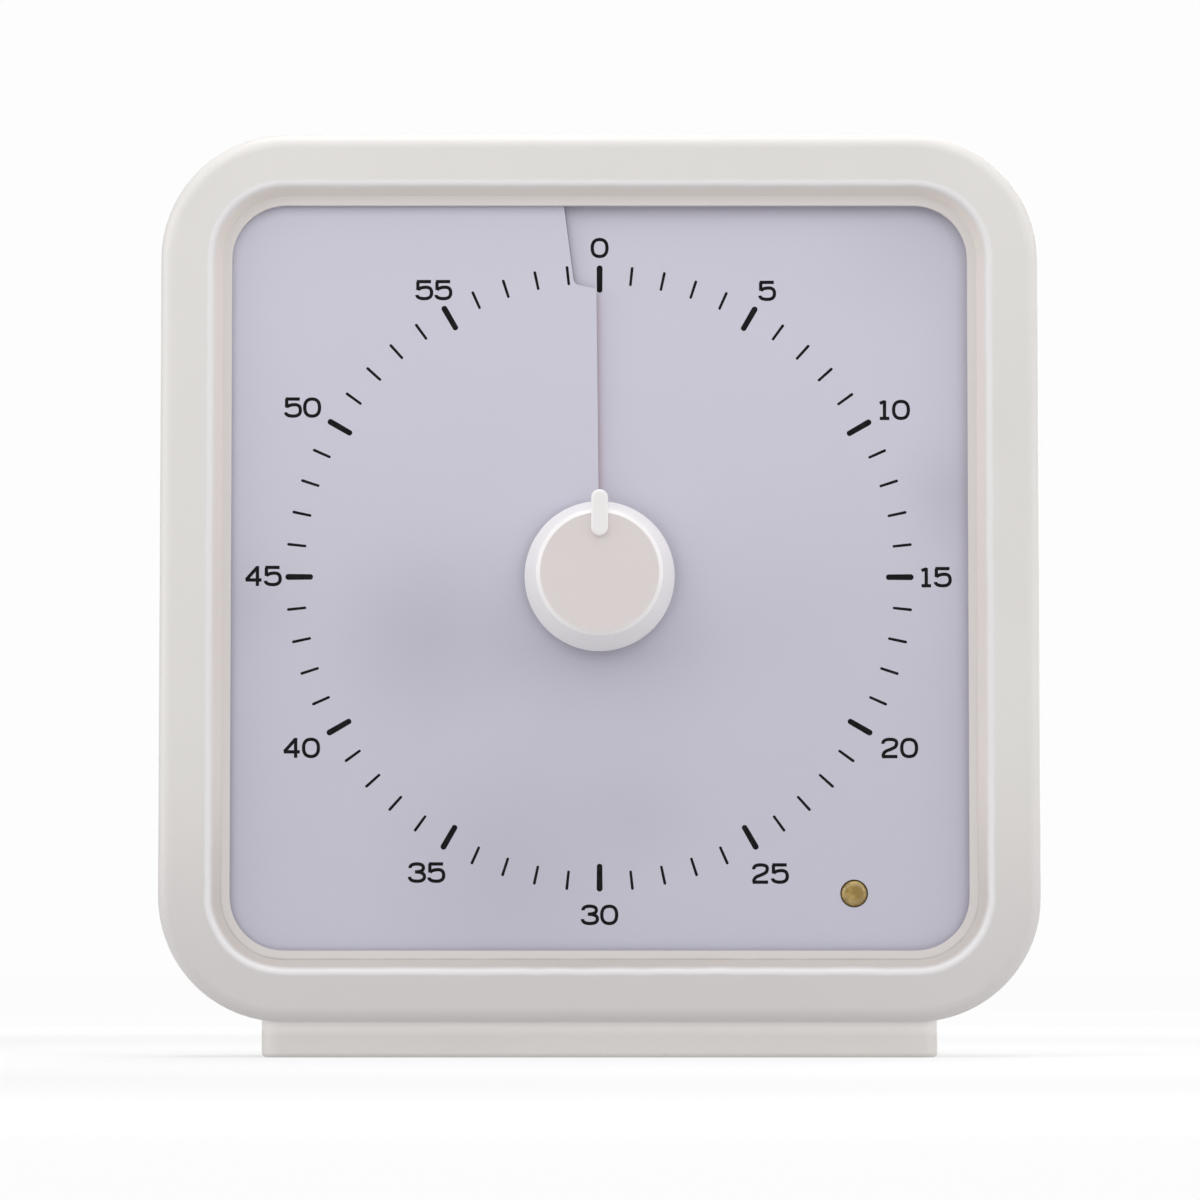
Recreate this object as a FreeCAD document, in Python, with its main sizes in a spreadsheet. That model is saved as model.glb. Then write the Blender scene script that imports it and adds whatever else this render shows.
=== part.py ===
import FreeCAD, Part
import math
import os
import re
import Sketcher

# A visual countdown timer, built face on: in every sub-part's own frame x is right, y is up,
# z comes out of the dial towards the viewer, and the origin is the middle of the dial card.
# One placement then stands the face up: the front looks along -Y, +Z is up, and the timer
# rests on z = 0 with the middle of its foot at the origin.

Vector = FreeCAD.Vector
doc = FreeCAD.newDocument("countdown_timer")

# Driving dimensions, in millimetres and degrees

sheet = doc.addObject("Spreadsheet::Sheet", "Sizes")
SIZES = {
    "case_width": 190.0, "case_height": 192.0, "case_depth": 40.0, "case_corner": 27.0,
    "case_wall": 2.4, "front_depth": 24.0, "edge_round": 3.0, "lip_wall": 1.0, "lip_rise": 1.8,
    "bezel_width": 11.2, "slope_width": 2.1, "ledge_depth": 3.0, "ledge_width": 2.0,
    "dial_depth": 5.6, "bead_round": 1.2, "skirt_wall": 2.4,
    "foot_height": 7.6, "foot_width": 145.6, "foot_depth": 34.0, "foot_corner": 4.0,
    "foot_wall": 2.4, "foot_edge": 1.0, "foot_inner_corner": 2.0, "foot_boss_height": 10.0,
    "foot_boss_wall": 1.0, "foot_boss_blind": 1.5, "foot_screw_x": 40.0,
    "foot_screw_front": 4.5, "foot_screw_rear": 10.0, "foot_screw_sink": 2.0,
    "foot_screw_length": 9.0,
    "fit": 0.3, "running_fit": 0.05,
    "card_thickness": 0.5, "card_lip": 2.5, "card_hole": 7.0, "spiral_rise": 1.6,
    "slit_turn": 62.8, "slit_jog": 5.4, "slit_lean": 2.8, "slit_gap": 0.1, "slit_angle": 0.65,
    "slit_round": 1.5, "slit_rise": 1.0, "tongue_angle": 12.0,
    "disc_radius": 61.5, "disc_thickness": 0.4,
    "support_thickness": 2.0, "support_gap": 0.6, "support_hole": 6.5, "card_post": 2.0,
    "card_post_gap": 0.05, "boss_x": 81.0, "boss_y": 82.0, "boss_radius": 3.2,
    "cover_boss_radius": 4.2, "screw_radius": 1.4, "head_radius": 2.8, "head_height": 2.0,
    "screw_length": 16.0, "case_screw_sink": 10.0, "case_pilot": 15.0, "screw_slot": 0.5,
    "small_screw": 0.85, "small_head": 1.9, "small_head_height": 1.2, "small_screw_length": 4.0,
    "frame_post": 2.8, "frame_post_offset": 50.0, "frame_post_inset": 3.8,
    "spindle_radius": 1.5, "hub_side": 8.0, "hub_gap": 0.2, "hub_lift": 0.3,
    "hub_play": 0.05, "collar_radius": 2.4, "collar_thickness": 0.6,
    "knob_radius": 16.2, "knob_face_radius": 13.6, "knob_height": 14.4, "knob_lift": 2.5,
    "knob_edge": 0.9, "knob_wall": 2.0, "knob_boss": 4.5, "knob_band": 1.2,
    "knob_blind": 2.0,
    "rib_width": 3.6, "rib_start": 7.6, "rib_end": 17.6, "rib_proud": 1.0, "rib_edge": 0.6,
    "rib_foot": 3.0,
    "box_left": 36.0, "box_right": 24.0, "box_top": 32.0, "box_bottom": 24.0,
    "box_depth": 17.0, "box_wall": 1.6, "box_corner": 3.0, "pivot_depth": 0.8,
    "pivot_play": 0.1, "arbor_radius": 0.5,
    "ear_size": 6.5, "ear_thickness": 1.8, "ear_overlap": 0.5,
    "wheel_thickness": 0.8, "wheel_drop": 1.8, "wheel_step": 2.2, "leaf_length": 1.6,
    "leaf_lead": 0.4, "spring_room": 1.2, "spring_thickness": 0.25, "spring_reach": 1.4,
    "spring_seat": 0.5,
    "coarse_module": 0.4, "middle_module": 0.35, "fine_module": 0.3,
    "pinion_teeth": 8, "centre_teeth": 60, "second_teeth": 60, "third_teeth": 64,
    "fourth_teeth": 32,
    "magnet_radius": 3.0, "magnet_length": 2.0, "magnet_gap": 0.4, "stator_thickness": 1.0,
    "coil_radius": 3.3, "coil_sleeve": 2.6, "coil_flange": 3.6, "coil_length": 15.0,
    "core_height": 4.0, "core_thickness": 1.2, "coil_drop": 15.0, "coil_flange_wall": 0.8,
    "magnet_lift": 2.0, "stator_lift": 0.5, "stator_leg": 4.0, "stator_ring": 1.8,
    "stator_spare": 6.0, "stator_shift": 2.0, "stator_foot": 1.0, "core_fit": 0.02,
    "cam_radius": 5.0, "cam_thickness": 1.2, "cam_gap": 3.4, "cam_notch": 1.6,
    "notch_root": 1.0, "notch_back": 0.6, "blade_thickness": 0.3, "blade_width": 3.0,
    "blade_gap": 0.4, "blade_spacing": 1.6, "blade_length": 18.0, "blade_drop": 15.0,
    "blade_short": 3.0, "blade_block_width": 5.0, "blade_block_height": 4.0,
    "led_x": 54.9, "led_y": -68.4, "led_radius": 2.9, "led_hole": 3.0, "led_flange": 3.3,
    "led_proud": 0.5, "led_lift": 1.5, "led_base": 1.0, "leg_spacing": 2.54, "leg_side": 0.5,
    "leg_tail": 1.0, "leg_hole": 0.4,
    "board_left": 28.0, "board_bottom": -80.0, "board_width": 50.0, "board_height": 50.0,
    "board_thickness": 1.6, "board_gap": 4.0, "board_inset": 4.0, "board_post": 2.2,
    "chip_radius": 5.0, "chip_height": 1.4, "chip_round": 1.0, "chip_x": 14.0, "chip_y": 22.0,
    "capacitor_radius": 2.5, "capacitor_height": 7.0, "capacitor_x": 30.0, "capacitor_y": 8.0,
    "capacitor_spacing": 8.0, "crystal_radius": 1.0, "crystal_length": 6.0, "crystal_x": 10.0,
    "crystal_y": 38.0,
    "buzzer_radius": 6.0, "buzzer_height": 8.5, "buzzer_x": 66.0, "buzzer_y": -50.0,
    "buzzer_mouth": 1.2, "buzzer_recess": 2.0, "sound_hole": 1.0, "sound_ring": 3.6,
    "bay_left": -63.5, "bay_length": 59.0, "bay_bottom": -66.5, "bay_height": 17.0,
    "bay_depth": 18.0, "bay_wall": 1.6, "door_margin": 3.5, "door_thickness": 1.9,
    "door_ledge": 1.6, "door_gap": 0.1, "grip_depth": 0.5, "grip_width": 0.8, "grip_step": 2.0,
    "grip_inset": 4.0, "door_rail": 1.0, "door_rail_inset": 6.0,
    "cell_radius": 7.1, "cell_length": 49.5, "nub_radius": 2.7, "nub_length": 1.0,
    "contact_thickness": 0.4, "contact_width": 10.0, "contact_drop": 5.0, "contact_rise": 6.0,
    "contact_gap": 0.02, "cell_play": 0.1, "tab_width": 3.0, "tab_proud": 2.0,
    "spring_wide": 4.5, "spring_narrow": 2.6,
    "switch_x": 40.0, "switch_spacing": 24.0, "switch_y": 8.0, "switch_length": 12.0,
    "switch_width": 6.4, "switch_height": 3.6, "switch_lift": 0.1, "switch_mouth": 2.0,
    "lever_length": 4.0, "lever_width": 2.6, "lever_foot": 1.7, "switch_travel": 2.0,
    "switch_board_thickness": 1.2, "switch_board_height": 10.0, "switch_board_end": 2.5,
    "switch_post": 1.8, "switch_post_offset": 4.0, "switch_pilot": 3.0, "slot_sink": 0.1,
    "recess_width": 16.0, "recess_height": 11.0, "recess_corner": 2.0, "recess_depth": 0.5,
    "ridge_width": 0.4, "ridge_step": 1.1, "ridge_depth": 0.3,
    "lead_radius": 0.5, "lead_end": 8.0, "lead_climb": 10.0, "supply_left": 30.0,
    "supply_spacing": 3.0, "fine_lead_radius": 0.3, "fine_lead_bend": 7.0,
    "fine_lead_step": 2.5, "fine_lead_first": 31.0, "coil_lead_y": 2.9, "lead_mouth_left": 2.0,
    "lead_mouth_right": 3.6, "switch_lead_x": 44.0, "switch_lead_start": 10.0,
    "switch_lead_step": 3.0,
}
for row, (alias, size) in enumerate(SIZES.items(), start=1):
    sheet.set(f"A{row}", alias.replace("_", " "))
    sheet.set(f"B{row}", str(size))
    sheet.setAlias(f"B{row}", alias)
doc.recompute()

# Levels along z and other derived sizes, as formulas of the sheet's names

FRONT = "dial_depth"
PARTING = "(dial_depth - front_depth)"
REAR = "(dial_depth - case_depth)"
REAR_INSIDE = "(dial_depth - case_depth + case_wall)"
CARD_SEAT = "(spiral_rise / 2 + card_thickness / 2 + fit / 2)"
LEDGE = "(dial_depth - ledge_depth)"
SUPPORT_FRONT = "(-spiral_rise - disc_thickness / 2 - support_gap)"
SUPPORT_BACK = f"({SUPPORT_FRONT} - support_thickness)"
OPENING_WIDTH = "(case_width - 2 * bezel_width)"
OPENING_HEIGHT = "(case_height - 2 * bezel_width)"
OPENING_CORNER = "(case_corner - bezel_width)"
STEP = "(slope_width + ledge_width)"
AXIS_HEIGHT = "(foot_height + case_height / 2)"
BOX_FRONT = SUPPORT_BACK
BOX_INSIDE = f"({BOX_FRONT} - box_wall)"
BOX_REAR = f"({BOX_FRONT} - box_depth)"
BOX_REAR_INSIDE = f"({BOX_REAR} + box_wall)"
BOARD_FRONT = f"({SUPPORT_BACK} - board_gap)"
BOARD_BACK = f"({BOARD_FRONT} - board_thickness)"
BOARD_MIDDLE = f"({BOARD_FRONT} - board_thickness / 2)"
BOARD_TOP = "(board_bottom + board_height)"
BAY_TOP = "(dial_depth - case_depth + bay_depth + bay_wall)"
TAB_TOP = f"({BAY_TOP} + tab_proud)"
BAY_MIDDLE = "(bay_bottom + bay_height / 2)"
BAY_END = "(bay_left + bay_length)"
LEAD_SHARE = 0.45
FUNCTIONS = {"sqrt", "sin", "cos", "tan", "pi", "min", "max"}


def ref(formula):
    """The formula with each size's name pointing at its cell in the sheet."""

    def point(match):
        word = match.group(0)
        return word if word in FUNCTIONS else f"Sizes.{word}"

    return re.sub(r"[A-Za-z_][A-Za-z_0-9]*", point, str(formula))


def value(formula):
    """The number that a formula of the sheet's names stands for."""
    return float(sheet.evalExpression(ref(formula)))


def new_body(label, x="0", y="0"):
    """A body in the face-on frame, with its own origin moved to (x, y) on the dial."""
    body = doc.addObject("PartDesign::Body", label)
    body.Label = label
    place(body, x, y)
    return body


def place(item, x="0", y="0"):
    """Stand a face-on sub-part up: local z looks along -Y and local y is up."""
    middle = "(case_depth / 2 - dial_depth)"
    item.Placement = FreeCAD.Placement(
        Vector(value(x), -value(middle), value(f"{AXIS_HEIGHT} + {y}")),
        FreeCAD.Rotation(Vector(1, 0, 0), 90),
    )
    item.setExpression("Placement.Base.x", ref(x))
    item.setExpression("Placement.Base.y", ref(f"-{middle}"))
    item.setExpression("Placement.Base.z", ref(f"{AXIS_HEIGHT} + {y}"))


def new_sketch(body, role, level, turn=0.0):
    """A sketch on one of the body's own origin planes, lifted to a level and turned."""
    plane = next(item for item in body.Origin.OriginFeatures if item.Role == role)
    sketch = body.newObject("Sketcher::SketchObject", f"{body.Name}_sketch")
    sketch.AttachmentSupport = (plane, [""])
    sketch.MapMode = "FlatFace"
    spin = FreeCAD.Rotation(Vector(0, 0, 1), turn)
    sketch.AttachmentOffset = FreeCAD.Placement(Vector(0, 0, value(level)), spin)
    sketch.setExpression("AttachmentOffset.Base.z", ref(level))
    return sketch


def measure(sketch, kind, items, formula):
    """Add one dimension to a sketch and bind it to a formula."""
    index = sketch.addConstraint(Sketcher.Constraint(kind, *items, value(formula)))
    sketch.setExpression(f"Constraints[{index}]", ref(formula))


# Outlines: each returns a function that draws itself into a sketch


def circle(radius, x="0", y="0"):
    """A circle about (x, y)."""

    def draw(sketch):
        centre = Vector(value(x), value(y), 0)
        ring = sketch.addGeometry(Part.Circle(centre, Vector(0, 0, 1), value(radius)), False)
        measure(sketch, "Radius", (ring,), radius)
        measure(sketch, "DistanceX", (-1, 1, ring, 3), x)
        measure(sketch, "DistanceY", (-1, 1, ring, 3), y)

    return draw


def polygon(*points):
    """A closed outline of straight lines through points given as pairs of formulas."""

    def draw(sketch):
        corners = [Vector(value(x), value(y), 0) for x, y in points]
        first = sketch.GeometryCount
        for index, corner in enumerate(corners):
            following = corners[(index + 1) % len(corners)]
            sketch.addGeometry(Part.LineSegment(corner, following), False)
        for index, (x, y) in enumerate(points):
            line = first + index
            before = first + (index - 1) % len(points)
            sketch.addConstraint(Sketcher.Constraint("Coincident", before, 2, line, 1))
            measure(sketch, "DistanceX", (-1, 1, line, 1), x)
            measure(sketch, "DistanceY", (-1, 1, line, 1), y)

    return draw


def rectangle(left, bottom, width, height):
    """An upright rectangle from its lower left corner."""
    right = f"({left} + {width})"
    top = f"({bottom} + {height})"
    return polygon((left, bottom), (right, bottom), (right, top), (left, top))


def rounded(width, height, radius, x="0", y="0"):
    """A rectangle about (x, y) with round corners that meet its sides smoothly."""

    def draw(sketch):
        across, up, corner = value(width), value(height), value(radius)
        first = sketch.GeometryCount
        signs = [(1, 1), (-1, 1), (-1, -1), (1, -1)]
        arcs = []
        for quarter, (sx, sy) in enumerate(signs):
            middle = Vector(value(x) + sx * (across / 2 - corner),
                            value(y) + sy * (up / 2 - corner), 0)
            ring = Part.Circle(middle, Vector(0, 0, 1), corner)
            start = quarter * math.pi / 2
            arcs.append(Part.ArcOfCircle(ring, start, start + math.pi / 2))
        for index, arc in enumerate(arcs):
            sketch.addGeometry(arc, False)
            following = arcs[(index + 1) % 4]
            sketch.addGeometry(Part.LineSegment(arc.EndPoint, following.StartPoint), False)
        for index in range(4):
            arc, line = first + 2 * index, first + 2 * index + 1
            following = first + 2 * ((index + 1) % 4)
            sketch.addConstraint(Sketcher.Constraint("Tangent", arc, 2, line, 1))
            sketch.addConstraint(Sketcher.Constraint("Tangent", line, 2, following, 1))
            direction = "Horizontal" if index % 2 == 0 else "Vertical"
            sketch.addConstraint(Sketcher.Constraint(direction, line))
            if index:
                sketch.addConstraint(Sketcher.Constraint("Equal", first, arc))
        measure(sketch, "Radius", (first,), radius)
        left, low, right = first + 3, first + 5, first + 7
        measure(sketch, "DistanceX", (left, 1, right, 1), width)
        measure(sketch, "DistanceY", (low, 1, first + 1, 1), height)
        measure(sketch, "DistanceX", (-1, 1, left, 1), f"{x} - {width} / 2")
        measure(sketch, "DistanceY", (-1, 1, low, 1), f"{y} - {height} / 2")

    return draw


# Features


def add(body, low, high, *outlines, role="XY_Plane", turn=0.0):
    """Pad outlines from one level up to another."""
    sketch = new_sketch(body, role, low, turn)
    for outline in outlines:
        outline(sketch)
    pad = body.newObject("PartDesign::Pad", f"{body.Name}_pad")
    pad.Profile = sketch
    pad.Length = value(f"{high} - {low}")
    pad.setExpression("Length", ref(f"{high} - {low}"))
    body.Tip = pad
    return pad


def cut(body, low, high, *outlines, role="XY_Plane", turn=0.0):
    """Pocket outlines between two levels, and make sure that they took something away."""
    doc.recompute()
    before = body.Shape.Volume
    sketch = new_sketch(body, role, low, turn)
    for outline in outlines:
        outline(sketch)
    pocket = body.newObject("PartDesign::Pocket", f"{body.Name}_pocket")
    pocket.Profile = sketch
    pocket.Length = value(f"{high} - {low}")
    pocket.setExpression("Length", ref(f"{high} - {low}"))
    pocket.Reversed = True
    body.Tip = pocket
    doc.recompute()
    if body.Shape.Volume >= before:
        raise ValueError(f"a pocket of {body.Label} cuts nothing")
    return pocket


def soften(body, radius, choose):
    """Fillet the edges of the body's last feature that the test picks."""
    doc.recompute()
    base = body.Tip
    names = [f"Edge{i}" for i, edge in enumerate(base.Shape.Edges, start=1) if choose(edge)]
    fillet = body.newObject("PartDesign::Fillet", f"{body.Name}_fillet")
    fillet.Base = (base, names)
    fillet.Radius = value(radius)
    fillet.setExpression("Radius", ref(radius))
    body.Tip = fillet
    return fillet


def at_level(level, reach=1000.0):
    """A test for edges that lie flat at one level, within a reach of the middle."""
    height = value(level)

    def choose(edge):
        box = edge.BoundBox
        flat = abs(box.ZMin - height) < 0.001 and abs(box.ZMax - height) < 0.001
        return flat and max(abs(box.XMin), abs(box.XMax)) < reach

    return choose


def corners_of(half_x, half_y):
    """The four places at plus and minus two distances."""
    return [(f"({sx} * {half_x})", f"({sy} * {half_y})") for sx in (-1, 1) for sy in (-1, 1)]


CASE_BOSSES = corners_of("boss_x", "boss_y")
POST_X = "(case_width / 2 - case_wall - frame_post_inset)"
POST_Y = "(case_height / 2 - case_wall - frame_post_inset)"
FRAME_POSTS = corners_of(POST_X, "frame_post_offset") + corners_of("frame_post_offset", POST_Y)
FOOT_SCREWS = [(side, level) for side in ("(-foot_screw_x)", "foot_screw_x")
               for level in ("foot_screw_front", "(-foot_screw_rear)")]
CASE_MIDDLE = "(dial_depth - case_depth / 2)"


def foot_bosses(body, offset):
    """Bosses inside the case's underside that the foot's screws go up into."""
    top = "(case_height / 2 - foot_boss_height)"
    level = f"({CASE_MIDDLE} + {offset})"
    for side in ("(-foot_screw_x)", "foot_screw_x"):
        add(body, top, "(case_height / 2 - case_wall / 2)",
            circle("boss_radius", side, level), role="XZ_Plane")
        cut(body, f"({top} + foot_boss_blind)", "(case_height / 2 + 1)",
            circle("screw_radius", side, level), role="XZ_Plane")


def build_front_frame():
    """The deep front shell: bezel, stepped window and the skirt that holds the dial."""
    body = new_body("front_frame")
    add(body, PARTING, FRONT, rounded("case_width", "case_height", "case_corner"))
    soften(body, "edge_round", at_level(FRONT))
    inner = rounded("(case_width - 2 * case_wall)", "(case_height - 2 * case_wall)",
                    "(case_corner - case_wall)")
    cut(body, PARTING, SUPPORT_FRONT, inner)
    seat_grow = "(2 * card_lip + 2 * fit - 2 * ledge_width - 2 * slope_width)"
    seat_width = f"({OPENING_WIDTH} + {seat_grow})"
    seat_height = f"({OPENING_HEIGHT} + {seat_grow})"
    seat_corner = f"({OPENING_CORNER} + {seat_grow} / 2)"
    skirt = rounded(f"({seat_width} + 2 * skirt_wall)", f"({seat_height} + 2 * skirt_wall)",
                    f"({seat_corner} + skirt_wall)")
    cut(body, SUPPORT_FRONT, f"({FRONT} - case_wall)", inner, skirt)
    cut(body, SUPPORT_FRONT, CARD_SEAT, rounded(seat_width, seat_height, seat_corner))
    cut(body, CARD_SEAT, f"({FRONT} + 1)",
        rounded(f"({OPENING_WIDTH} - 2 * {STEP})", f"({OPENING_HEIGHT} - 2 * {STEP})",
                f"({OPENING_CORNER} - {STEP})"))
    top = new_sketch(body, "XY_Plane", FRONT)
    rounded(OPENING_WIDTH, OPENING_HEIGHT, OPENING_CORNER)(top)
    low = new_sketch(body, "XY_Plane", LEDGE)
    rounded(f"({OPENING_WIDTH} - 2 * slope_width)", f"({OPENING_HEIGHT} - 2 * slope_width)",
            f"({OPENING_CORNER} - slope_width)")(low)
    slope = body.newObject("PartDesign::SubtractiveLoft", "front_frame_slope")
    slope.Profile = top
    slope.Sections = [low]
    body.Tip = slope
    soften(body, "bead_round", at_level(FRONT, value(f"{OPENING_WIDTH} / 2") + 0.1))
    for x, y in CASE_BOSSES:
        add(body, PARTING, f"({FRONT} - case_wall / 2)", circle("boss_radius", x, y))
        cut(body, PARTING, f"({PARTING} + case_pilot)", circle("screw_radius", x, y))
    for x, y in FRAME_POSTS:
        add(body, SUPPORT_FRONT, f"({FRONT} - case_wall / 2)", circle("frame_post", x, y))
        cut(body, SUPPORT_FRONT, f"({SUPPORT_FRONT} + small_screw_length)",
            circle("small_screw", x, y))
    foot_bosses(body, "foot_screw_front")
    return body


def build_rear_cover():
    """The rear shell: lip, screw bosses, battery bay, sound holes and switch slots."""
    body = new_body("rear_cover")
    add(body, REAR, PARTING, rounded("case_width", "case_height", "case_corner"))
    soften(body, "edge_round", at_level(REAR))
    side_wall = "(case_wall + lip_wall + fit / 2)"
    add(body, PARTING, f"({PARTING} + lip_rise)",
        rounded("(case_width - 2 * case_wall - fit)", "(case_height - 2 * case_wall - fit)",
                "(case_corner - case_wall - fit / 2)"))
    cut(body, REAR_INSIDE, f"({PARTING} + lip_rise + 1)",
        rounded(f"(case_width - 2 * {side_wall})", f"(case_height - 2 * {side_wall})",
                f"(case_corner - {side_wall})"))
    for x, y in CASE_BOSSES:
        add(body, f"({REAR_INSIDE} - case_wall / 2)", PARTING, circle("cover_boss_radius", x, y))
        cut(body, REAR, f"({REAR} + case_screw_sink)", circle("(head_radius + fit)", x, y))
        cut(body, f"({REAR} + case_screw_sink)", f"({PARTING} + 1)",
            circle("(screw_radius + fit)", x, y))
    margin = "(door_margin + bay_wall)"
    add(body, f"({REAR_INSIDE} - case_wall / 2)", f"({REAR_INSIDE} + door_ledge)",
        rectangle(f"(bay_left - {margin})", f"(bay_bottom - {margin})",
                  f"(bay_length + 2 * {margin})", f"(bay_height + 2 * {margin})"))
    add(body, f"({REAR_INSIDE} - case_wall / 2)", f"({REAR} + bay_depth + bay_wall)",
        rectangle("(bay_left - bay_wall)", "(bay_bottom - bay_wall)",
                  "(bay_length + 2 * bay_wall)", "(bay_height + 2 * bay_wall)"))
    cut(body, REAR, f"({REAR} + bay_depth)",
        rectangle("bay_left", "bay_bottom", "bay_length", "bay_height"))
    cut(body, REAR, f"({REAR} + door_thickness + door_gap)",
        rectangle("(bay_left - door_margin)", "(bay_bottom - door_margin)",
                  "(bay_length + 2 * door_margin)", "(bay_height + 2 * door_margin)"))
    holes = [circle("sound_hole", "buzzer_x", "buzzer_y")]
    for step in range(6):
        holes.append(circle("sound_hole", f"(buzzer_x + sound_ring * cos({60 * step}))",
                            f"(buzzer_y + sound_ring * sin({60 * step}))"))
    cut(body, REAR, REAR_INSIDE, *holes)
    for step in (0, 1):
        middle = switch_middle(step)
        cut(body, REAR, f"({REAR} + recess_depth)",
            rounded("recess_width", "recess_height", "recess_corner", middle, "switch_y"))
        cut(body, f"({REAR} + recess_depth)", REAR_INSIDE, lever_slot(middle))
    for end in ("bay_left", f"({BAY_END} - 2 * contact_thickness)"):
        cut(body, f"({REAR} + bay_depth)", BAY_TOP,
            rectangle(end, f"({BAY_MIDDLE} - tab_width / 2 - fit)", "(2 * contact_thickness)",
                      "(tab_width + 2 * fit)"))
    for x, y in switch_posts():
        add(body, f"({REAR_INSIDE} - case_wall / 2)", SWITCH_BOARD_REAR,
            circle("switch_post", x, y))
        cut(body, f"({SWITCH_BOARD_REAR} - switch_pilot)", SWITCH_BOARD_REAR,
            circle("small_screw", x, y))
    foot_bosses(body, "(-foot_screw_rear)")
    return body


SWITCH_REAR = f"({REAR_INSIDE} + switch_lift)"
SWITCH_BOARD_REAR = f"({SWITCH_REAR} + switch_height)"
SWITCH_BOARD_FRONT = f"({SWITCH_BOARD_REAR} + switch_board_thickness)"
SWITCH_BOARD_LOW = "(switch_y - switch_board_height / 2)"


def switch_middle(step):
    """Where along x one of the two slide switches stands."""
    return f"(switch_x + {step} * switch_spacing)"


def lever_slot(middle):
    """The slot that a switch's lever slides in."""
    length = "(lever_length + 2 * switch_travel + 2 * fit)"
    return rectangle(f"({middle} - {length} / 2)", "(switch_y - lever_width / 2 - fit)", length,
                     "(lever_width + 2 * fit)")


def switch_posts():
    """The two posts that carry the switch board, past its outer switches."""
    left = "(switch_x - switch_length / 2 - switch_post_offset)"
    right = "(switch_x + switch_spacing + switch_length / 2 + switch_post_offset)"
    return [(left, "switch_y"), (right, "switch_y")]


def build_base_foot():
    """The hollow foot, shaped at its top to the round corners of the case."""
    body = new_body("base_foot")
    sketch = new_sketch(body, "XY_Plane", f"({CASE_MIDDLE} - foot_depth / 2)")
    half = value("foot_width / 2")
    flat = value("case_width / 2 - case_corner")
    corner = value("case_corner")
    underside = value("-case_height / 2")
    bottom = value("-case_height / 2 - foot_height")
    shoulder = underside + corner - math.sqrt(corner ** 2 - (half - flat) ** 2)
    centre_y = underside + corner
    angle = math.acos((half - flat) / corner)
    right = Part.ArcOfCircle(Part.Circle(Vector(flat, centre_y, 0), Vector(0, 0, 1), corner),
                             -math.pi / 2, -angle)
    left = Part.ArcOfCircle(Part.Circle(Vector(-flat, centre_y, 0), Vector(0, 0, 1), corner),
                            math.pi + angle, 1.5 * math.pi)
    lines = [((-half, shoulder), (-half, bottom)), ((-half, bottom), (half, bottom)),
             ((half, bottom), (half, shoulder)), ((flat, underside), (-flat, underside))]
    for start, end in lines:
        sketch.addGeometry(Part.LineSegment(Vector(*start, 0), Vector(*end, 0)), False)
    sketch.addGeometry(right, False)
    sketch.addGeometry(left, False)
    for item in ((0, 2, 1, 1), (1, 2, 2, 1), (2, 2, 4, 2), (5, 1, 0, 1)):
        sketch.addConstraint(Sketcher.Constraint("Coincident", *item))
    for item in ((4, 1, 3, 1), (3, 2, 5, 2)):
        sketch.addConstraint(Sketcher.Constraint("Tangent", *item))
    for line, direction in ((0, "Vertical"), (1, "Horizontal"), (2, "Vertical")):
        sketch.addConstraint(Sketcher.Constraint(direction, line))
    measure(sketch, "Radius", (4,), "case_corner")
    measure(sketch, "Radius", (5,), "case_corner")
    measure(sketch, "DistanceX", (1, 1, 1, 2), "foot_width")
    measure(sketch, "DistanceX", (-1, 1, 1, 2), "foot_width / 2")
    measure(sketch, "DistanceY", (-1, 1, 1, 1), "-case_height / 2 - foot_height")
    measure(sketch, "DistanceX", (-1, 1, 4, 3), "case_width / 2 - case_corner")
    measure(sketch, "DistanceX", (5, 3, -1, 1), "case_width / 2 - case_corner")
    measure(sketch, "DistanceY", (-1, 1, 4, 3), "-case_height / 2 + case_corner")
    pad = body.newObject("PartDesign::Pad", "base_foot_pad")
    pad.Profile = sketch
    pad.Length = value("foot_depth")
    pad.setExpression("Length", ref("foot_depth"))
    body.Tip = pad

    def upright(edge):
        box = edge.BoundBox
        return box.YMin < bottom + 0.01 and box.YLength > 1 and box.XLength < 0.01

    soften(body, "foot_corner", upright)

    def underneath(edge):
        box = edge.BoundBox
        return box.YMax < bottom + 0.01

    soften(body, "foot_edge", underneath)
    inner_depth = "(foot_depth - 2 * foot_wall)"
    cut(body, "(case_height / 2 - 2)", "(case_height / 2 + foot_height - foot_wall)",
        rounded("(foot_width - 2 * foot_wall - 2 * foot_corner)", inner_depth,
                "foot_inner_corner", "0", CASE_MIDDLE),
        role="XZ_Plane")
    for x, y in FOOT_SCREWS:
        level = f"({CASE_MIDDLE} + {y})"
        add(body, "(case_height / 2)", "(case_height / 2 + foot_height - foot_wall / 2)",
            circle("(head_radius + fit + foot_boss_wall)", x, level), role="XZ_Plane")
        cut(body, "(case_height / 2 + foot_screw_sink)", "(case_height / 2 + foot_height + 1)",
            circle("(head_radius + fit)", x, level), role="XZ_Plane")
        cut(body, "(case_height / 2 - 1)", "(case_height / 2 + foot_screw_sink + 1)",
            circle("(screw_radius + fit)", x, level), role="XZ_Plane")
    return body


# The dial card and the time disc are one turn of the same shallow spiral


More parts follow.
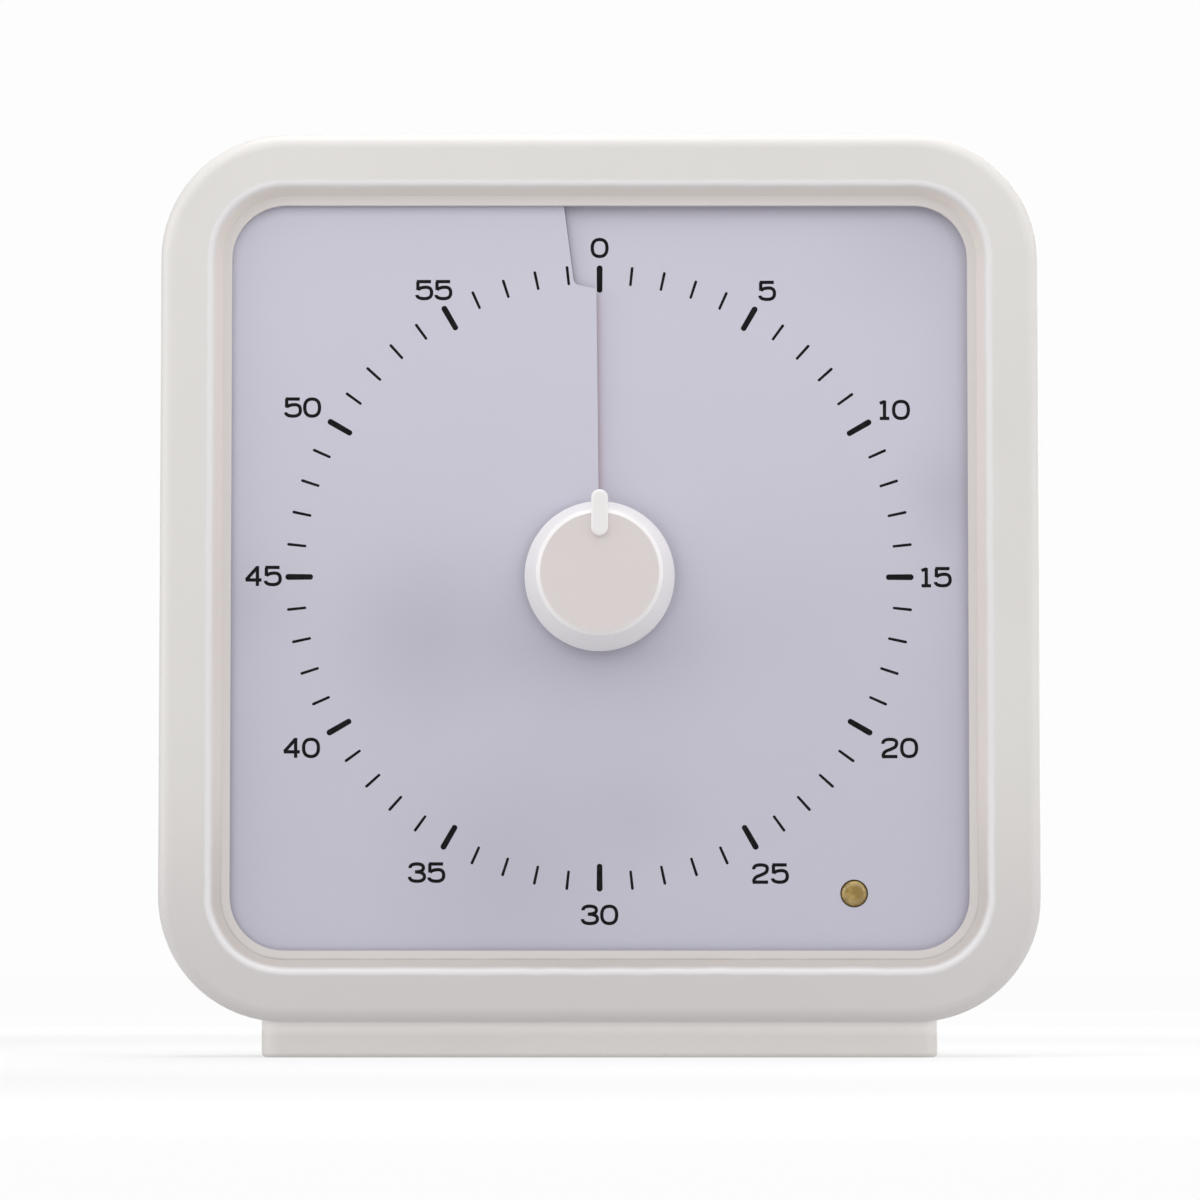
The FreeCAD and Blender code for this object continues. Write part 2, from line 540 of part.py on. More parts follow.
def spiral_turn(inner, outer, thickness, start, sweep):
    """A spiral leaf: flat along its radius, rising towards the viewer as it goes clockwise."""
    rise = value("spiral_rise")
    half = thickness / 2

    def rail(radius, lift):
        """One edge of the leaf, as a helix that starts straight up from the middle."""
        helix = Part.makeHelix(rise, rise * sweep / 360, radius, 0, True)
        helix.rotate(Vector(0, 0, 0), Vector(0, 0, 1), 90 - start)
        helix.translate(Vector(0, 0, rise * start / 360 - rise / 2 + lift))
        return helix.Edges[0]

    low_in, low_out = rail(inner, -half), rail(outer, -half)
    high_in, high_out = rail(inner, half), rail(outer, half)
    walls = [
        Part.makeRuledSurface(low_in, low_out), Part.makeRuledSurface(high_in, high_out),
        Part.makeRuledSurface(low_in, high_in), Part.makeRuledSurface(low_out, high_out),
    ]
    for end in (0, -1):
        corners = [edge.Vertexes[end].Point for edge in (low_in, low_out, high_out, high_in)]
        walls.append(Part.Face(Part.makePolygon(corners + corners[:1])))
    shell = Part.makeShell(walls)
    shell.sewShape()
    leaf = Part.Solid(shell)
    leaf.fix(0.001, 0.001, 0.001)
    return leaf if leaf.Volume > 0 else leaf.reversed()


def prism(points, low, high):
    """An upright prism over an outline of straight lines."""
    corners = [Vector(x, y, low) for x, y in points]
    face = Part.Face(Part.makePolygon(corners + corners[:1]))
    return face.extrude(Vector(0, 0, high - low))


def new_feature(label, shape):
    """A sub-part whose shape is set here, stood up like the bodies."""
    item = doc.addObject("Part::Feature", label)
    item.Label = label
    item.Shape = shape
    place(item)
    return item


def rounded_block(width, height, radius, low, high):
    """A block with four round upright edges."""
    block = Part.makeBox(width, height, high - low, Vector(-width / 2, -height / 2, low))
    upright = [edge for edge in block.Edges if abs(edge.BoundBox.ZLength - (high - low)) < 0.01]
    return block.makeFillet(radius, upright)


def rounded_prism(points, low, high, corner, radius):
    """A prism with one of its upright edges rounded."""
    solid = prism(points, low, high)
    x, y = points[corner]
    upright = [edge for edge in solid.Edges
               if edge.BoundBox.ZLength > (high - low) / 2
               and math.hypot(edge.BoundBox.XMin - x, edge.BoundBox.YMin - y) < 0.01]
    return solid.makeFillet(radius, upright)


def turn_to_slit(shape):
    """Turn a spiral leaf so that its ends lie along the slit."""
    shape.rotate(Vector(0, 0, 0), Vector(0, 0, 1), value("slit_angle"))
    return shape


def build_dial_card():
    """The printed card, slit from under the knob to its top edge, its left side in front."""
    grow = value("2 * card_lip - 2 * (slope_width + ledge_width)")
    width = value(OPENING_WIDTH) + grow
    height = value(OPENING_HEIGHT) + grow
    radius = value(OPENING_CORNER) + grow / 2
    thickness = value("card_thickness")
    reach = math.hypot(width, height) / 2
    rise = value("spiral_rise")
    turn, jog, lean = value("slit_turn"), value("slit_jog"), value("slit_lean")
    gap, corner, step = value("slit_gap"), value("slit_round"), value("slit_rise")
    wedge = value("tongue_angle")
    start = -turn * math.sin(math.radians(value("slit_angle")))
    body = turn_to_slit(spiral_turn(1.0, reach, thickness, 0.0, 360.0))
    tongue = turn_to_slit(spiral_turn(turn, reach, thickness, -wedge, wedge))
    high = rise + 1
    top = height / 2 + 2
    right_of_slit = [(start, turn), (-jog, turn + step), (-jog - lean, top), (1, top), (1, turn)]
    tongue = tongue.common(rounded_prism(right_of_slit, -high, high, 1, corner))
    front_half = [(start, turn - gap), (-jog - gap, turn + step - gap), (-jog - lean - gap, top),
                  (start, top)]
    card = body.cut(rounded_prism(front_half, 0, high, 1, corner)).fuse(tongue)
    card = card.common(rounded_block(width, height, radius, -high, high))
    card = card.cut(Part.makeCylinder(value("card_hole"), 2 * high, Vector(0, 0, -high)))
    lamp = Vector(value("led_x"), value("led_y"), -high)
    card = card.cut(Part.makeCylinder(value("led_hole"), 2 * high, lamp))
    return new_feature("dial_card", card.removeSplitter())


def build_time_disc():
    """The coloured disc, half a turn's rise behind the card, keyed to slide on its hub."""
    disc = turn_to_slit(
        spiral_turn(1.0, value("disc_radius"), value("disc_thickness"), 0.0, 360.0))
    disc.translate(Vector(0, 0, -value("spiral_rise / 2")))
    side = value("hub_side + 2 * hub_gap")
    keyway = Part.makeBox(side, side, 10, Vector(-side / 2, -side / 2, -5))
    return new_feature("time_disc", disc.cut(keyway))


CARD_POSTS = [(45, 104), (135, 104), (225, 104), (315, 104), (90, 75), (180, 76), (270, 75),
              (8, 76), (345, 78)]


def build_dial_support():
    """The flat plate behind the card, with a post to each place where the card is held."""
    body = new_body("dial_support")
    inset = "(case_wall + fit)"
    add(body, SUPPORT_BACK, SUPPORT_FRONT,
        rounded(f"(case_width - 2 * {inset})", f"(case_height - 2 * {inset})",
                f"(case_corner - {inset})"))
    cut(body, SUPPORT_BACK, SUPPORT_FRONT,
        *[circle("(boss_radius + fit)", x, y) for x, y in CASE_BOSSES])
    cut(body, SUPPORT_BACK, SUPPORT_FRONT, circle("support_hole"))
    cut(body, SUPPORT_BACK, SUPPORT_FRONT, circle("(led_hole + fit)", "led_x", "led_y"))
    cut(body, SUPPORT_BACK, SUPPORT_FRONT,
        *[circle("(small_screw + fit)", x, y) for x, y in FRAME_POSTS])
    for angle, radius in CARD_POSTS:
        x, y = f"({radius} * sin({angle}))", f"({radius} * cos({angle}))"
        lift = f"(spiral_rise * {angle / 360} - spiral_rise / 2)"
        top = f"({lift} - card_thickness / 2 - card_post_gap)"
        add(body, SUPPORT_FRONT, top, circle("card_post", x, y))
    for x, y in board_posts():
        add(body, BOARD_FRONT, SUPPORT_BACK, circle("board_post", x, y))
        cut(body, BOARD_FRONT, f"({SUPPORT_BACK} + 1)", circle("small_screw", x, y))
    cut(body, SUPPORT_BACK, SUPPORT_FRONT,
        *[circle("small_screw", x, y) for x, y in ear_places()])
    return body


def board_posts():
    """The corners of the circuit board that stand on posts."""
    left, right = "(board_left + board_inset)", "(board_left + board_width - board_inset)"
    low, high = "(board_bottom + board_inset)", f"({BOARD_TOP} - board_inset)"
    return [(left, low), (right, low), (left, high), (right, high)]


def ear_places():
    """The screw places in the movement's four ears."""
    left, right = "(-box_left - ear_size / 2)", "(box_right + ear_size / 2)"
    low, high = "(-box_bottom + ear_size)", "(box_top - ear_size)"
    return [(left, low), (left, high), (right, low), (right, high)]


# The knob and what turns with it


def build_knob():
    """The round setting knob: tapered side, flat face and a pointer rib."""
    body = new_body("knob")
    base = "knob_lift"
    face = "(knob_lift + knob_height)"
    profile = new_sketch(body, "XZ_Plane", "0")
    bore = "(knob_height - knob_wall - knob_blind)"
    polygon(("0", f"({base} + {bore})"), ("spindle_radius", f"({base} + {bore})"),
            ("spindle_radius", base), ("knob_boss", base),
            ("knob_boss", f"({face} - knob_wall)"),
            ("(knob_face_radius - knob_wall)", f"({face} - knob_wall)"),
            ("(knob_radius - knob_wall)", base), ("knob_radius", base),
            ("knob_radius", f"({base} + knob_band)"),
            ("knob_face_radius", f"({face} - knob_edge)"),
            ("(knob_face_radius - knob_edge)", face), ("0", face))(profile)
    turned = body.newObject("PartDesign::Revolution", "knob_turned")
    turned.Profile = profile
    turned.ReferenceAxis = (profile, ["V_Axis"])
    turned.Angle = 360.0
    body.Tip = turned
    length = "(rib_end - rib_start)"
    middle = "((rib_end + rib_start) / 2)"
    add(body, f"({base} + rib_foot)", f"({face} + rib_proud)",
        rounded("rib_width", length, "(rib_width / 2 - 0.01)", "0", middle))
    soften(body, "rib_edge", at_level(f"({face} + rib_proud)"))
    return body


def build_disc_hub():
    """The square hub on the spindle that turns the time disc and lets it slide."""
    body = new_body("disc_hub")
    low = f"({SUPPORT_FRONT} + hub_lift)"
    add(body, low, "(knob_lift - hub_play)",
        rectangle("(-hub_side / 2)", "(-hub_side / 2)", "hub_side", "hub_side"))
    cut(body, f"({low} - 1)", "knob_lift", circle("spindle_radius"))
    return body


def build_spindle():
    """The steel spindle, from its rear pivot to the inside of the knob, with its collar."""
    body = new_body("spindle")
    add(body, f"({BOX_REAR_INSIDE} - pivot_depth)",
        "(knob_lift + knob_height - knob_wall - knob_blind)", circle("spindle_radius"))
    add(body, COLLAR_REAR, COLLAR_FRONT, circle("collar_radius"))
    return body


CENTRE_REAR = f"({BOX_INSIDE} - wheel_drop)"
COLLAR_FRONT = f"({CENTRE_REAR} - spring_room)"
COLLAR_REAR = f"({COLLAR_FRONT} - collar_thickness)"


def tooth(radius, module, root_width, pitch_width, tip_width, above, below):
    """One tooth on the x axis, its widths and heights in modules."""
    inner = f"({radius} - {below + 0.4} * {module})"
    root = f"({radius} - {below} * {module})"
    tip = f"({radius} + {above} * {module})"
    half = [f"({width} * {module} / 2)" for width in (root_width, pitch_width, tip_width)]
    return polygon((inner, f"(-{half[0]})"), (root, f"(-{half[0]})"), (radius, f"(-{half[1]})"),
                   (tip, f"(-{half[2]})"), (tip, half[2]), (radius, half[1]),
                   (root, half[0]), (inner, half[0]))


def add_gear(body, teeth, module, low, high, turn, slim):
    """A toothed ring on the body's own axis, its first tooth at the angle turn."""
    radius = f"({teeth} * {module} / 2)"
    widths = (0.9, 1.05, 0.5) if slim else (1.6, 1.3, 0.45)
    above, below = (0.6, 1.35) if slim else (0.9, 1.2)
    add(body, low, high, circle(f"({radius} - {below} * {module})"))
    first = add(body, low, high, tooth(radius, module, *widths, above, below), turn=turn)
    ring = body.newObject("PartDesign::PolarPattern", f"{body.Name}_teeth")
    ring.Originals = [first]
    ring.Axis = (first.Profile[0], ["N_Axis"])
    ring.Angle = 360.0
    ring.Occurrences = int(value(teeth))
    ring.setExpression("Occurrences", ref(teeth))
    body.Tip = ring


# Where the train's arbors stand, from the spindle out, and the levels of its wheels

SECOND_REACH = "((centre_teeth + pinion_teeth) * coarse_module / 2)"
THIRD_REACH = "((second_teeth + pinion_teeth) * middle_module / 2)"
FOURTH_REACH = "((third_teeth + pinion_teeth) * fine_module / 2)"
ROTOR_REACH = "((fourth_teeth + pinion_teeth) * fine_module / 2)"
DIRECTIONS = {"second": 90.0, "third": 157.0, "fourth": 240.0, "rotor": 270.0}


def step_from(x, y, reach, angle):
    """The place at a distance and angle from another."""
    return (f"({x} + {reach} * cos({angle}))", f"({y} + {reach} * sin({angle}))")


SECOND = step_from("0", "0", SECOND_REACH, DIRECTIONS["second"])
THIRD = step_from(*SECOND, THIRD_REACH, DIRECTIONS["third"])
FOURTH = step_from(*THIRD, FOURTH_REACH, DIRECTIONS["fourth"])
ROTOR = step_from(*FOURTH, ROTOR_REACH, DIRECTIONS["rotor"])


def wheel_level(order):
    """The rear face of the wheel that many meshes down the train."""
    return f"({CENTRE_REAR} - {order} * wheel_step - leaf_lead / 2)"


def leaf_level(order):
    """The rear end of the pinion that the wheel at that level drives."""
    return f"({wheel_level(order)} - leaf_lead)"


def pinion_turn(angle):
    """The pinion's turn that puts a gap where the wheel's tooth comes from."""
    return angle + 180.0 + 180.0 / value("pinion_teeth")


def build_centre_wheel():
    """The wheel on the spindle that the train turns once an hour."""
    body = new_body("centre_wheel")
    high = f"({CENTRE_REAR} + 1)"
    add_gear(body, "centre_teeth", "coarse_module", CENTRE_REAR, high, DIRECTIONS["second"],
             False)
    cut(body, f"({CENTRE_REAR} - 1)", f"({CENTRE_REAR} + 2)", circle("spindle_radius"))
    return body


def build_arbor(label, place_at, teeth, module, pinion_module, order, came, goes):
    """A moulded arbor with its pinion and its wheel, between the two plates."""
    body = new_body(label, *place_at)
    low = f"({BOX_REAR_INSIDE} - pivot_depth + pivot_play)"
    high = f"({BOX_INSIDE} + pivot_depth - pivot_play)"
    add(body, low, high, circle("arbor_radius"))
    pinion_low = f"({CENTRE_REAR} - 0.3)" if order == 1 else leaf_level(order - 1)
    add_gear(body, "pinion_teeth", pinion_module, pinion_low, f"({pinion_low} + leaf_length)",
             pinion_turn(came), True)
    add_gear(body, teeth, module, wheel_level(order), f"({wheel_level(order)} + wheel_thickness)",
             goes, False)
    return body


def build_rotor():
    """The rotor's pinion and arbor, and the magnet pressed on it."""
    arbor = new_body("rotor_pinion", *ROTOR)
    add(arbor, f"({BOX_REAR_INSIDE} - pivot_depth + pivot_play)",
        f"({BOX_INSIDE} + pivot_depth - pivot_play)", circle("arbor_radius"))
    low = leaf_level(3)
    add_gear(arbor, "pinion_teeth", "fine_module", low, f"({low} + leaf_length)",
             pinion_turn(DIRECTIONS["rotor"]), True)
    magnet = new_body("rotor_magnet", *ROTOR)
    add(magnet, MAGNET_REAR, f"({MAGNET_REAR} + magnet_length)", circle("magnet_radius"))
    cut(magnet, f"({MAGNET_REAR} - 1)", f"({MAGNET_REAR} + magnet_length + 1)",
        circle("arbor_radius"))
    return [arbor, magnet]


MAGNET_REAR = f"({BOX_REAR_INSIDE} + magnet_lift)"
STATOR_REAR = f"({MAGNET_REAR} + stator_lift)"
STATOR_FRONT = f"({STATOR_REAR} + stator_thickness)"


COIL_X = f"({ROTOR[0]} - stator_shift)"
COIL_Y = f"({ROTOR[1]} - coil_drop)"
COIL_LEVEL = f"({STATOR_FRONT} + core_thickness / 2)"


def build_motor():
    """The stator plate, its core, the bobbin and the winding."""
    x, y = ROTOR
    span = "(coil_length + stator_spare)"
    left, right = f"({COIL_X} - {span} / 2)", f"({COIL_X} + {span} / 2)"
    ring = "(magnet_radius + stator_ring)"
    top, bar = f"({y} + {ring})", f"({y} - {ring})"
    foot = f"({COIL_Y} - core_height / 2 - stator_foot)"
    stator = new_body("stator")
    leg = "stator_leg"
    add(stator, STATOR_REAR, STATOR_FRONT,
        polygon((f"({left} - {leg})", foot), (left, foot), (left, bar), (right, bar),
                (right, foot), (f"({right} + {leg})", foot), (f"({right} + {leg})", top),
                (f"({left} - {leg})", top)))
    cut(stator, STATOR_REAR, STATOR_FRONT, circle("(magnet_radius + magnet_gap)", x, y))
    core = new_body("coil_core")
    add(core, STATOR_FRONT, f"({STATOR_FRONT} + core_thickness)",
        rectangle(f"({left} - {leg})", f"({COIL_Y} - core_height / 2)",
                  f"({right} - {left} + 2 * {leg})", "core_height"))
    low_end, high_end = f"({COIL_X} - coil_length / 2)", f"({COIL_X} + coil_length / 2)"
    low_wall, high_wall = f"({low_end} + coil_flange_wall)", f"({high_end} - coil_flange_wall)"
    bobbin = new_body("coil_bobbin")
    winding = new_body("coil_winding")
    across = dict(role="YZ_Plane")
    for low, high, radius in ((low_end, high_end, "coil_sleeve"),
                              (low_end, low_wall, "coil_flange"),
                              (high_wall, high_end, "coil_flange")):
        add(bobbin, low, high, circle(radius, COIL_Y, COIL_LEVEL), **across)
    cut(bobbin, f"({low_end} - 1)", f"({high_end} + 1)",
        rectangle(f"({COIL_Y} - core_height / 2 - core_fit)", f"({STATOR_FRONT} - core_fit)",
                  "(core_height + 2 * core_fit)", "(core_thickness + 2 * core_fit)"), **across)
    add(winding, low_wall, high_wall, circle("coil_radius", COIL_Y, COIL_LEVEL),
        circle("coil_sleeve", COIL_Y, COIL_LEVEL), **across)
    return [stator, core, bobbin, winding]


def build_clutch_spring():
    """The dished washer that presses the wheel against the spindle's friction."""
    body = new_body("clutch_spring")
    profile = new_sketch(body, "XZ_Plane", "0")
    inner, outer = "(spindle_radius + running_fit)", "(collar_radius + spring_reach)"
    polygon((inner, COLLAR_FRONT), (f"({inner} + spring_seat)", COLLAR_FRONT),
            (outer, f"({CENTRE_REAR} - spring_thickness)"), (outer, CENTRE_REAR),
            (f"({outer} - spring_seat)", CENTRE_REAR),
            (inner, f"({COLLAR_FRONT} + spring_thickness)"))(profile)
    turned = body.newObject("PartDesign::Revolution", "clutch_spring_turned")
    turned.Profile = profile
    turned.ReferenceAxis = (profile, ["V_Axis"])
    turned.Angle = 360.0
    body.Tip = turned
    return body


CAM_REAR = f"({COLLAR_REAR} - cam_gap)"
BLADE_REAR = f"({CAM_REAR} - (blade_width - cam_thickness) / 2)"
BLADE_X = "(cam_radius + blade_gap)"
BLOCK_RIGHT = f"({BLADE_X} + blade_block_width - 1)"
BLOCK_Y = "(-blade_drop - 1)"


def build_alarm_switch():
    """The cam on the spindle, and the two contact blades that it holds apart until zero."""
    cam = new_body("alarm_cam")
    add(cam, CAM_REAR, f"({CAM_REAR} + cam_thickness)", circle("cam_radius"))
    cut(cam, f"({CAM_REAR} - 1)", f"({CAM_REAR} + cam_thickness + 1)",
        circle("spindle_radius"))
    cut(cam, CAM_REAR, f"({CAM_REAR} + cam_thickness)",
        polygon(("(cam_radius - notch_root)", "0"), ("(cam_radius + 1)", "0"),
                ("(cam_radius + 1)", "cam_notch"), ("(cam_radius - notch_back)", "cam_notch")))
    blades = new_body("contact_blades")
    high = f"({BLADE_REAR} + blade_width)"
    for offset, length in ((BLADE_X, "blade_length"),
                           (f"({BLADE_X} + blade_spacing)", "(blade_length - blade_short)")):
        add(blades, BLADE_REAR, high,
            rectangle(offset, "(-blade_drop)", "blade_thickness", length))
    add(blades, BLADE_REAR, high,
        rectangle(f"({BLADE_X} - 1)", f"({BLOCK_Y} - blade_block_height / 2)",
                  "blade_block_width", "blade_block_height"))
    return [cam, blades]


def build_movement_case():
    """The movement's front housing with ears, and its rear plate."""
    width, height = "(box_left + box_right)", "(box_top + box_bottom)"
    x, y = "((box_right - box_left) / 2)", "((box_top - box_bottom) / 2)"
    front = new_body("movement_front")
    add(front, BOX_REAR_INSIDE, BOX_FRONT, rounded(width, height, "box_corner", x, y))
    ear_low = f"({BOX_FRONT} - ear_thickness)"
    for ear_x, ear_y in ear_places():
        add(front, ear_low, BOX_FRONT,
            rectangle(f"({ear_x} - ear_size / 2 - ear_overlap)", f"({ear_y} - ear_size / 2)",
                      "(ear_size + 2 * ear_overlap)", "ear_size"))
    cut(front, BOX_REAR_INSIDE, BOX_INSIDE,
        rounded(f"({width} - 2 * box_wall)", f"({height} - 2 * box_wall)",
                "(box_corner - box_wall)", x, y))
    cut(front, ear_low, BOX_FRONT, *[circle("(small_screw + fit)", *at) for at in ear_places()])
    add(front, f"({BOX_FRONT} - box_wall / 2)", f"({BOX_FRONT} + support_thickness - hub_gap)",
        circle("(support_hole - 2 * running_fit)"))
    cut(front, BOX_INSIDE, f"({BOX_FRONT} + support_thickness)",
        circle("(spindle_radius + running_fit)"))
    pivots = [circle("(arbor_radius + running_fit)", *at) for at in (SECOND, THIRD, FOURTH, ROTOR)]
    cut(front, BOX_INSIDE, f"({BOX_INSIDE} + pivot_depth)", *pivots)
    cut(front, "(box_right - box_wall - 1)", "(box_right + 1)",
        rectangle(f"({BLOCK_Y} - lead_mouth_left / 2)", f"({COIL_LEVEL} - 1)",
                  "(lead_mouth_left + 1)", "(lead_mouth_right + lead_mouth_left)"),
        role="YZ_Plane")
    rear = new_body("movement_rear")
    add(rear, BOX_REAR, BOX_REAR_INSIDE, rounded(width, height, "box_corner", x, y))
    cut(rear, f"({BOX_REAR_INSIDE} - pivot_depth)", BOX_REAR_INSIDE, *pivots,
        circle("(spindle_radius + running_fit)"))
    return [front, rear]


def build_electronics():
    """The circuit board and what is soldered to it."""
    board = new_body("circuit_board")
    add(board, BOARD_BACK, BOARD_FRONT,
        rectangle("board_left", "board_bottom", "board_width", "board_height"))
    cut(board, BOARD_BACK, BOARD_FRONT,
        *[circle("(small_screw + fit)", x, y) for x, y in board_posts()])
    chip = new_body("control_chip")
    add(chip, f"({BOARD_BACK} - chip_height)", BOARD_BACK,
        circle("chip_radius", "(board_left + chip_x)", "(board_bottom + chip_y)"))
    soften(chip, "chip_round", at_level(f"({BOARD_BACK} - chip_height)"))
    capacitors = new_body("capacitors")
    for step in (0, 1):
        add(capacitors, f"({BOARD_BACK} - capacitor_height)", BOARD_BACK,
            circle("capacitor_radius", f"(board_left + capacitor_x + {step} * capacitor_spacing)",
                   "(board_bottom + capacitor_y)"))
    crystal = new_body("quartz_crystal")
    add(crystal, "(board_left + crystal_x)", "(board_left + crystal_x + crystal_length)",
        circle("crystal_radius", "(board_bottom + crystal_y)",
               f"({BOARD_BACK} - crystal_radius)"), role="YZ_Plane")
    buzzer = new_body("buzzer")
    add(buzzer, f"({BOARD_BACK} - buzzer_height)", BOARD_BACK,
        circle("buzzer_radius", "buzzer_x", "buzzer_y"))
    cut(buzzer, f"({BOARD_BACK} - buzzer_height)",
        f"({BOARD_BACK} - buzzer_height + buzzer_recess)",
        circle("buzzer_mouth", "buzzer_x", "buzzer_y"))
    lamp = new_body("indicator_led")
    lamp_foot = f"({BOARD_FRONT} + led_lift)"
    add(lamp, lamp_foot, f"({lamp_foot} + led_base)", circle("led_flange", "led_x", "led_y"))
    add(lamp, lamp_foot, "led_proud", circle("led_radius", "led_x", "led_y"))
    soften(lamp, "(led_radius / 2)", at_level("led_proud"))
    legs = new_body("led_legs")
    for side in (-1, 1):
        x = f"(led_x + {side} * leg_spacing / 2)"
        add(legs, f"({BOARD_BACK} - leg_tail)", lamp_foot,
            rectangle(f"({x} - leg_side / 2)", "(led_y - leg_side / 2)", "leg_side", "leg_side"))
        cut(board, BOARD_BACK, BOARD_FRONT, circle("leg_hole", x, "led_y"))
    return [board, chip, capacitors, crystal, buzzer, lamp, legs]


def build_battery():
    """The cell, its two contacts and the door over its bay."""
    level = f"({REAR} + bay_depth - fit - cell_radius)"
    y = BAY_MIDDLE
    start = "(bay_left + contact_thickness + cell_play)"
    across = dict(role="YZ_Plane")
    cell = new_body("battery_cell")
    can = f"({start} + nub_length)"
    add(cell, can, f"({can} + cell_length)", circle("cell_radius", y, level), **across)
    add(cell, start, f"({can} + 1)", circle("nub_radius", y, level), **across)
    plate = rectangle(f"({y} - contact_width / 2)", f"({level} - contact_drop)",
                      "contact_width", "(contact_drop + contact_rise)")
    neck = f"({level} + contact_rise - 1)"
    tab = rectangle(f"({y} - tab_width / 2)", neck, "tab_width", f"({TAB_TOP} - {neck})")
    contact = new_body("positive_contact")
    spring = new_body("negative_contact")
    inner = f"({BAY_END} - contact_thickness)"
    for outline in (plate, tab):
        add(contact, "(bay_left + contact_gap)", "(bay_left + contact_thickness)", outline,
            **across)
        add(spring, inner, f"({BAY_END} - contact_gap)", outline, **across)
    profile = new_sketch(spring, "XY_Plane", level)
    tip = f"({can} + cell_length + cell_play)"
    polygon((tip, y), (inner, y), (inner, f"({y} + spring_wide)"),
            (tip, f"({y} + spring_narrow)"))(profile)
    coil = spring.newObject("PartDesign::Revolution", "negative_contact_coil")
    coil.Profile = profile
    coil.ReferenceAxis = (profile, ["Edge1"])
    coil.Angle = 360.0
    spring.Tip = coil
    door = new_body("battery_door")
    inner = f"({REAR} + door_thickness)"
    add(door, REAR, inner,
        rectangle("(bay_left - door_margin + fit)", "(bay_bottom - door_margin + fit)",
                  "(bay_length + 2 * door_margin - 2 * fit)",
                  "(bay_height + 2 * door_margin - 2 * fit)"))
    for step in range(4):
        cut(door, REAR, f"({REAR} + grip_depth)",
            rectangle(f"({BAY_END} - grip_inset - {step} * grip_step)",
                      "(bay_bottom + grip_inset)", "grip_width",
                      "(bay_height - 2 * grip_inset)"))
    for low in ("(bay_bottom + fit)", "(bay_bottom + bay_height - fit - door_rail)"):
        add(door, inner, f"({inner} + door_rail)",
            rectangle("(bay_left + door_rail_inset)", low, "(bay_length - 2 * door_rail_inset)",
                      "door_rail"))
    return [cell, contact, spring, door]


def build_switches():
    """The small board inside the rear cover with the two slide switches."""
    board = new_body("switch_board")
    posts = switch_posts()
    left = f"({posts[0][0]} - switch_board_end)"
    width = f"({posts[1][0]} - {posts[0][0]} + 2 * switch_board_end)"
    add(board, SWITCH_BOARD_REAR, SWITCH_BOARD_FRONT,
        rectangle(left, SWITCH_BOARD_LOW, width, "switch_board_height"))
    cut(board, SWITCH_BOARD_REAR, SWITCH_BOARD_FRONT,
        *[circle("(small_screw + fit)", x, y) for x, y in posts])
    made = [board]
    for step, name in enumerate(("volume", "alarm_length")):
        middle = switch_middle(step)
        shell = new_body(f"{name}_switch")
        add(shell, SWITCH_REAR, SWITCH_BOARD_REAR,
            rectangle(f"({middle} - switch_length / 2)", "(switch_y - switch_width / 2)",
                      "switch_length", "switch_width"))
        cut(shell, SWITCH_REAR, f"({SWITCH_REAR} + switch_mouth)", lever_slot(middle))
        lever = new_body(f"{name}_slider")
        lever_rear = f"({REAR} + slot_sink)"
        add(lever, lever_rear, f"({SWITCH_REAR} + lever_foot)",
            rectangle(f"({middle} - lever_length / 2)", "(switch_y - lever_width / 2)",
                      "lever_length", "lever_width"))
        for ridge in (-1, 0, 1):
            cut(lever, lever_rear, f"({lever_rear} + ridge_depth)",
                rectangle(f"({middle} + {ridge} * ridge_step - ridge_width / 2)",
                          "(switch_y - lever_width / 2)", "ridge_width", "lever_width"))
        made += [shell, lever]
    return made


# Leads: straight runs joined by arcs that touch them, each end square on what it meets


def lead(radius, *places):
    """One insulated lead along a route, its bends as wide as the runs beside them allow."""
    route = [Vector(*(value(part) for part in place_at)) for place_at in places]
    path, bends = [], []
    start = route[0]
    for before, corner, after in zip(route, route[1:], route[2:]):
        arrive, leave = corner - before, after - corner
        half_turn = arrive.getAngle(leave) / 2
        setback = LEAD_SHARE * min(arrive.Length, leave.Length)
        bend = setback / math.tan(half_turn)
        arrive.normalize()
        leave.normalize()
        first, last = corner - arrive * setback, corner + leave * setback
        inward = leave - arrive
        inward.normalize()
        crown = corner + inward * (bend / math.cos(half_turn) - bend)
        path += [Part.makeLine(start, first), Part.Arc(first, crown, last).toShape()]
        bends.append(round(bend, 1))
        start = last
    path.append(Part.makeLine(start, route[-1]))
    ring = Part.Wire([Part.makeCircle(value(radius), route[0], route[1] - route[0])])
    print("lead", value(radius) * 2, "bends", bends)
    return Part.Wire(path).makePipeShell([ring], True, False)


def build_battery_leads():
    """The two leads from the cell's contacts to the circuit board's left edge."""
    level = f"({TAB_TOP} - tab_proud / 2)"
    leads = []
    for tab_x, side in (("(bay_left + contact_thickness)", -1), (BAY_END, 1)):
        y = f"({BAY_MIDDLE} + {side} * supply_spacing)"
        begin = f"({tab_x} - contact_gap)" if side > 0 else tab_x
        climb = "(board_left - lead_end - lead_climb)"
        route = [(begin, BAY_MIDDLE, level)]
        if side < 0:
            route += [(f"({tab_x} + supply_left / 2)", BAY_MIDDLE, level),
                      (f"({tab_x} + supply_left)", y, level), (climb, y, level)]
        else:
            route += [(f"({tab_x} + lead_end)", BAY_MIDDLE, level), (climb, y, level)]
        route += [("(board_left - lead_end)", y, BOARD_MIDDLE), ("board_left", y, BOARD_MIDDLE)]
        leads.append(lead("lead_radius", *route))
    return new_feature("battery_leads", Part.makeCompound(leads))


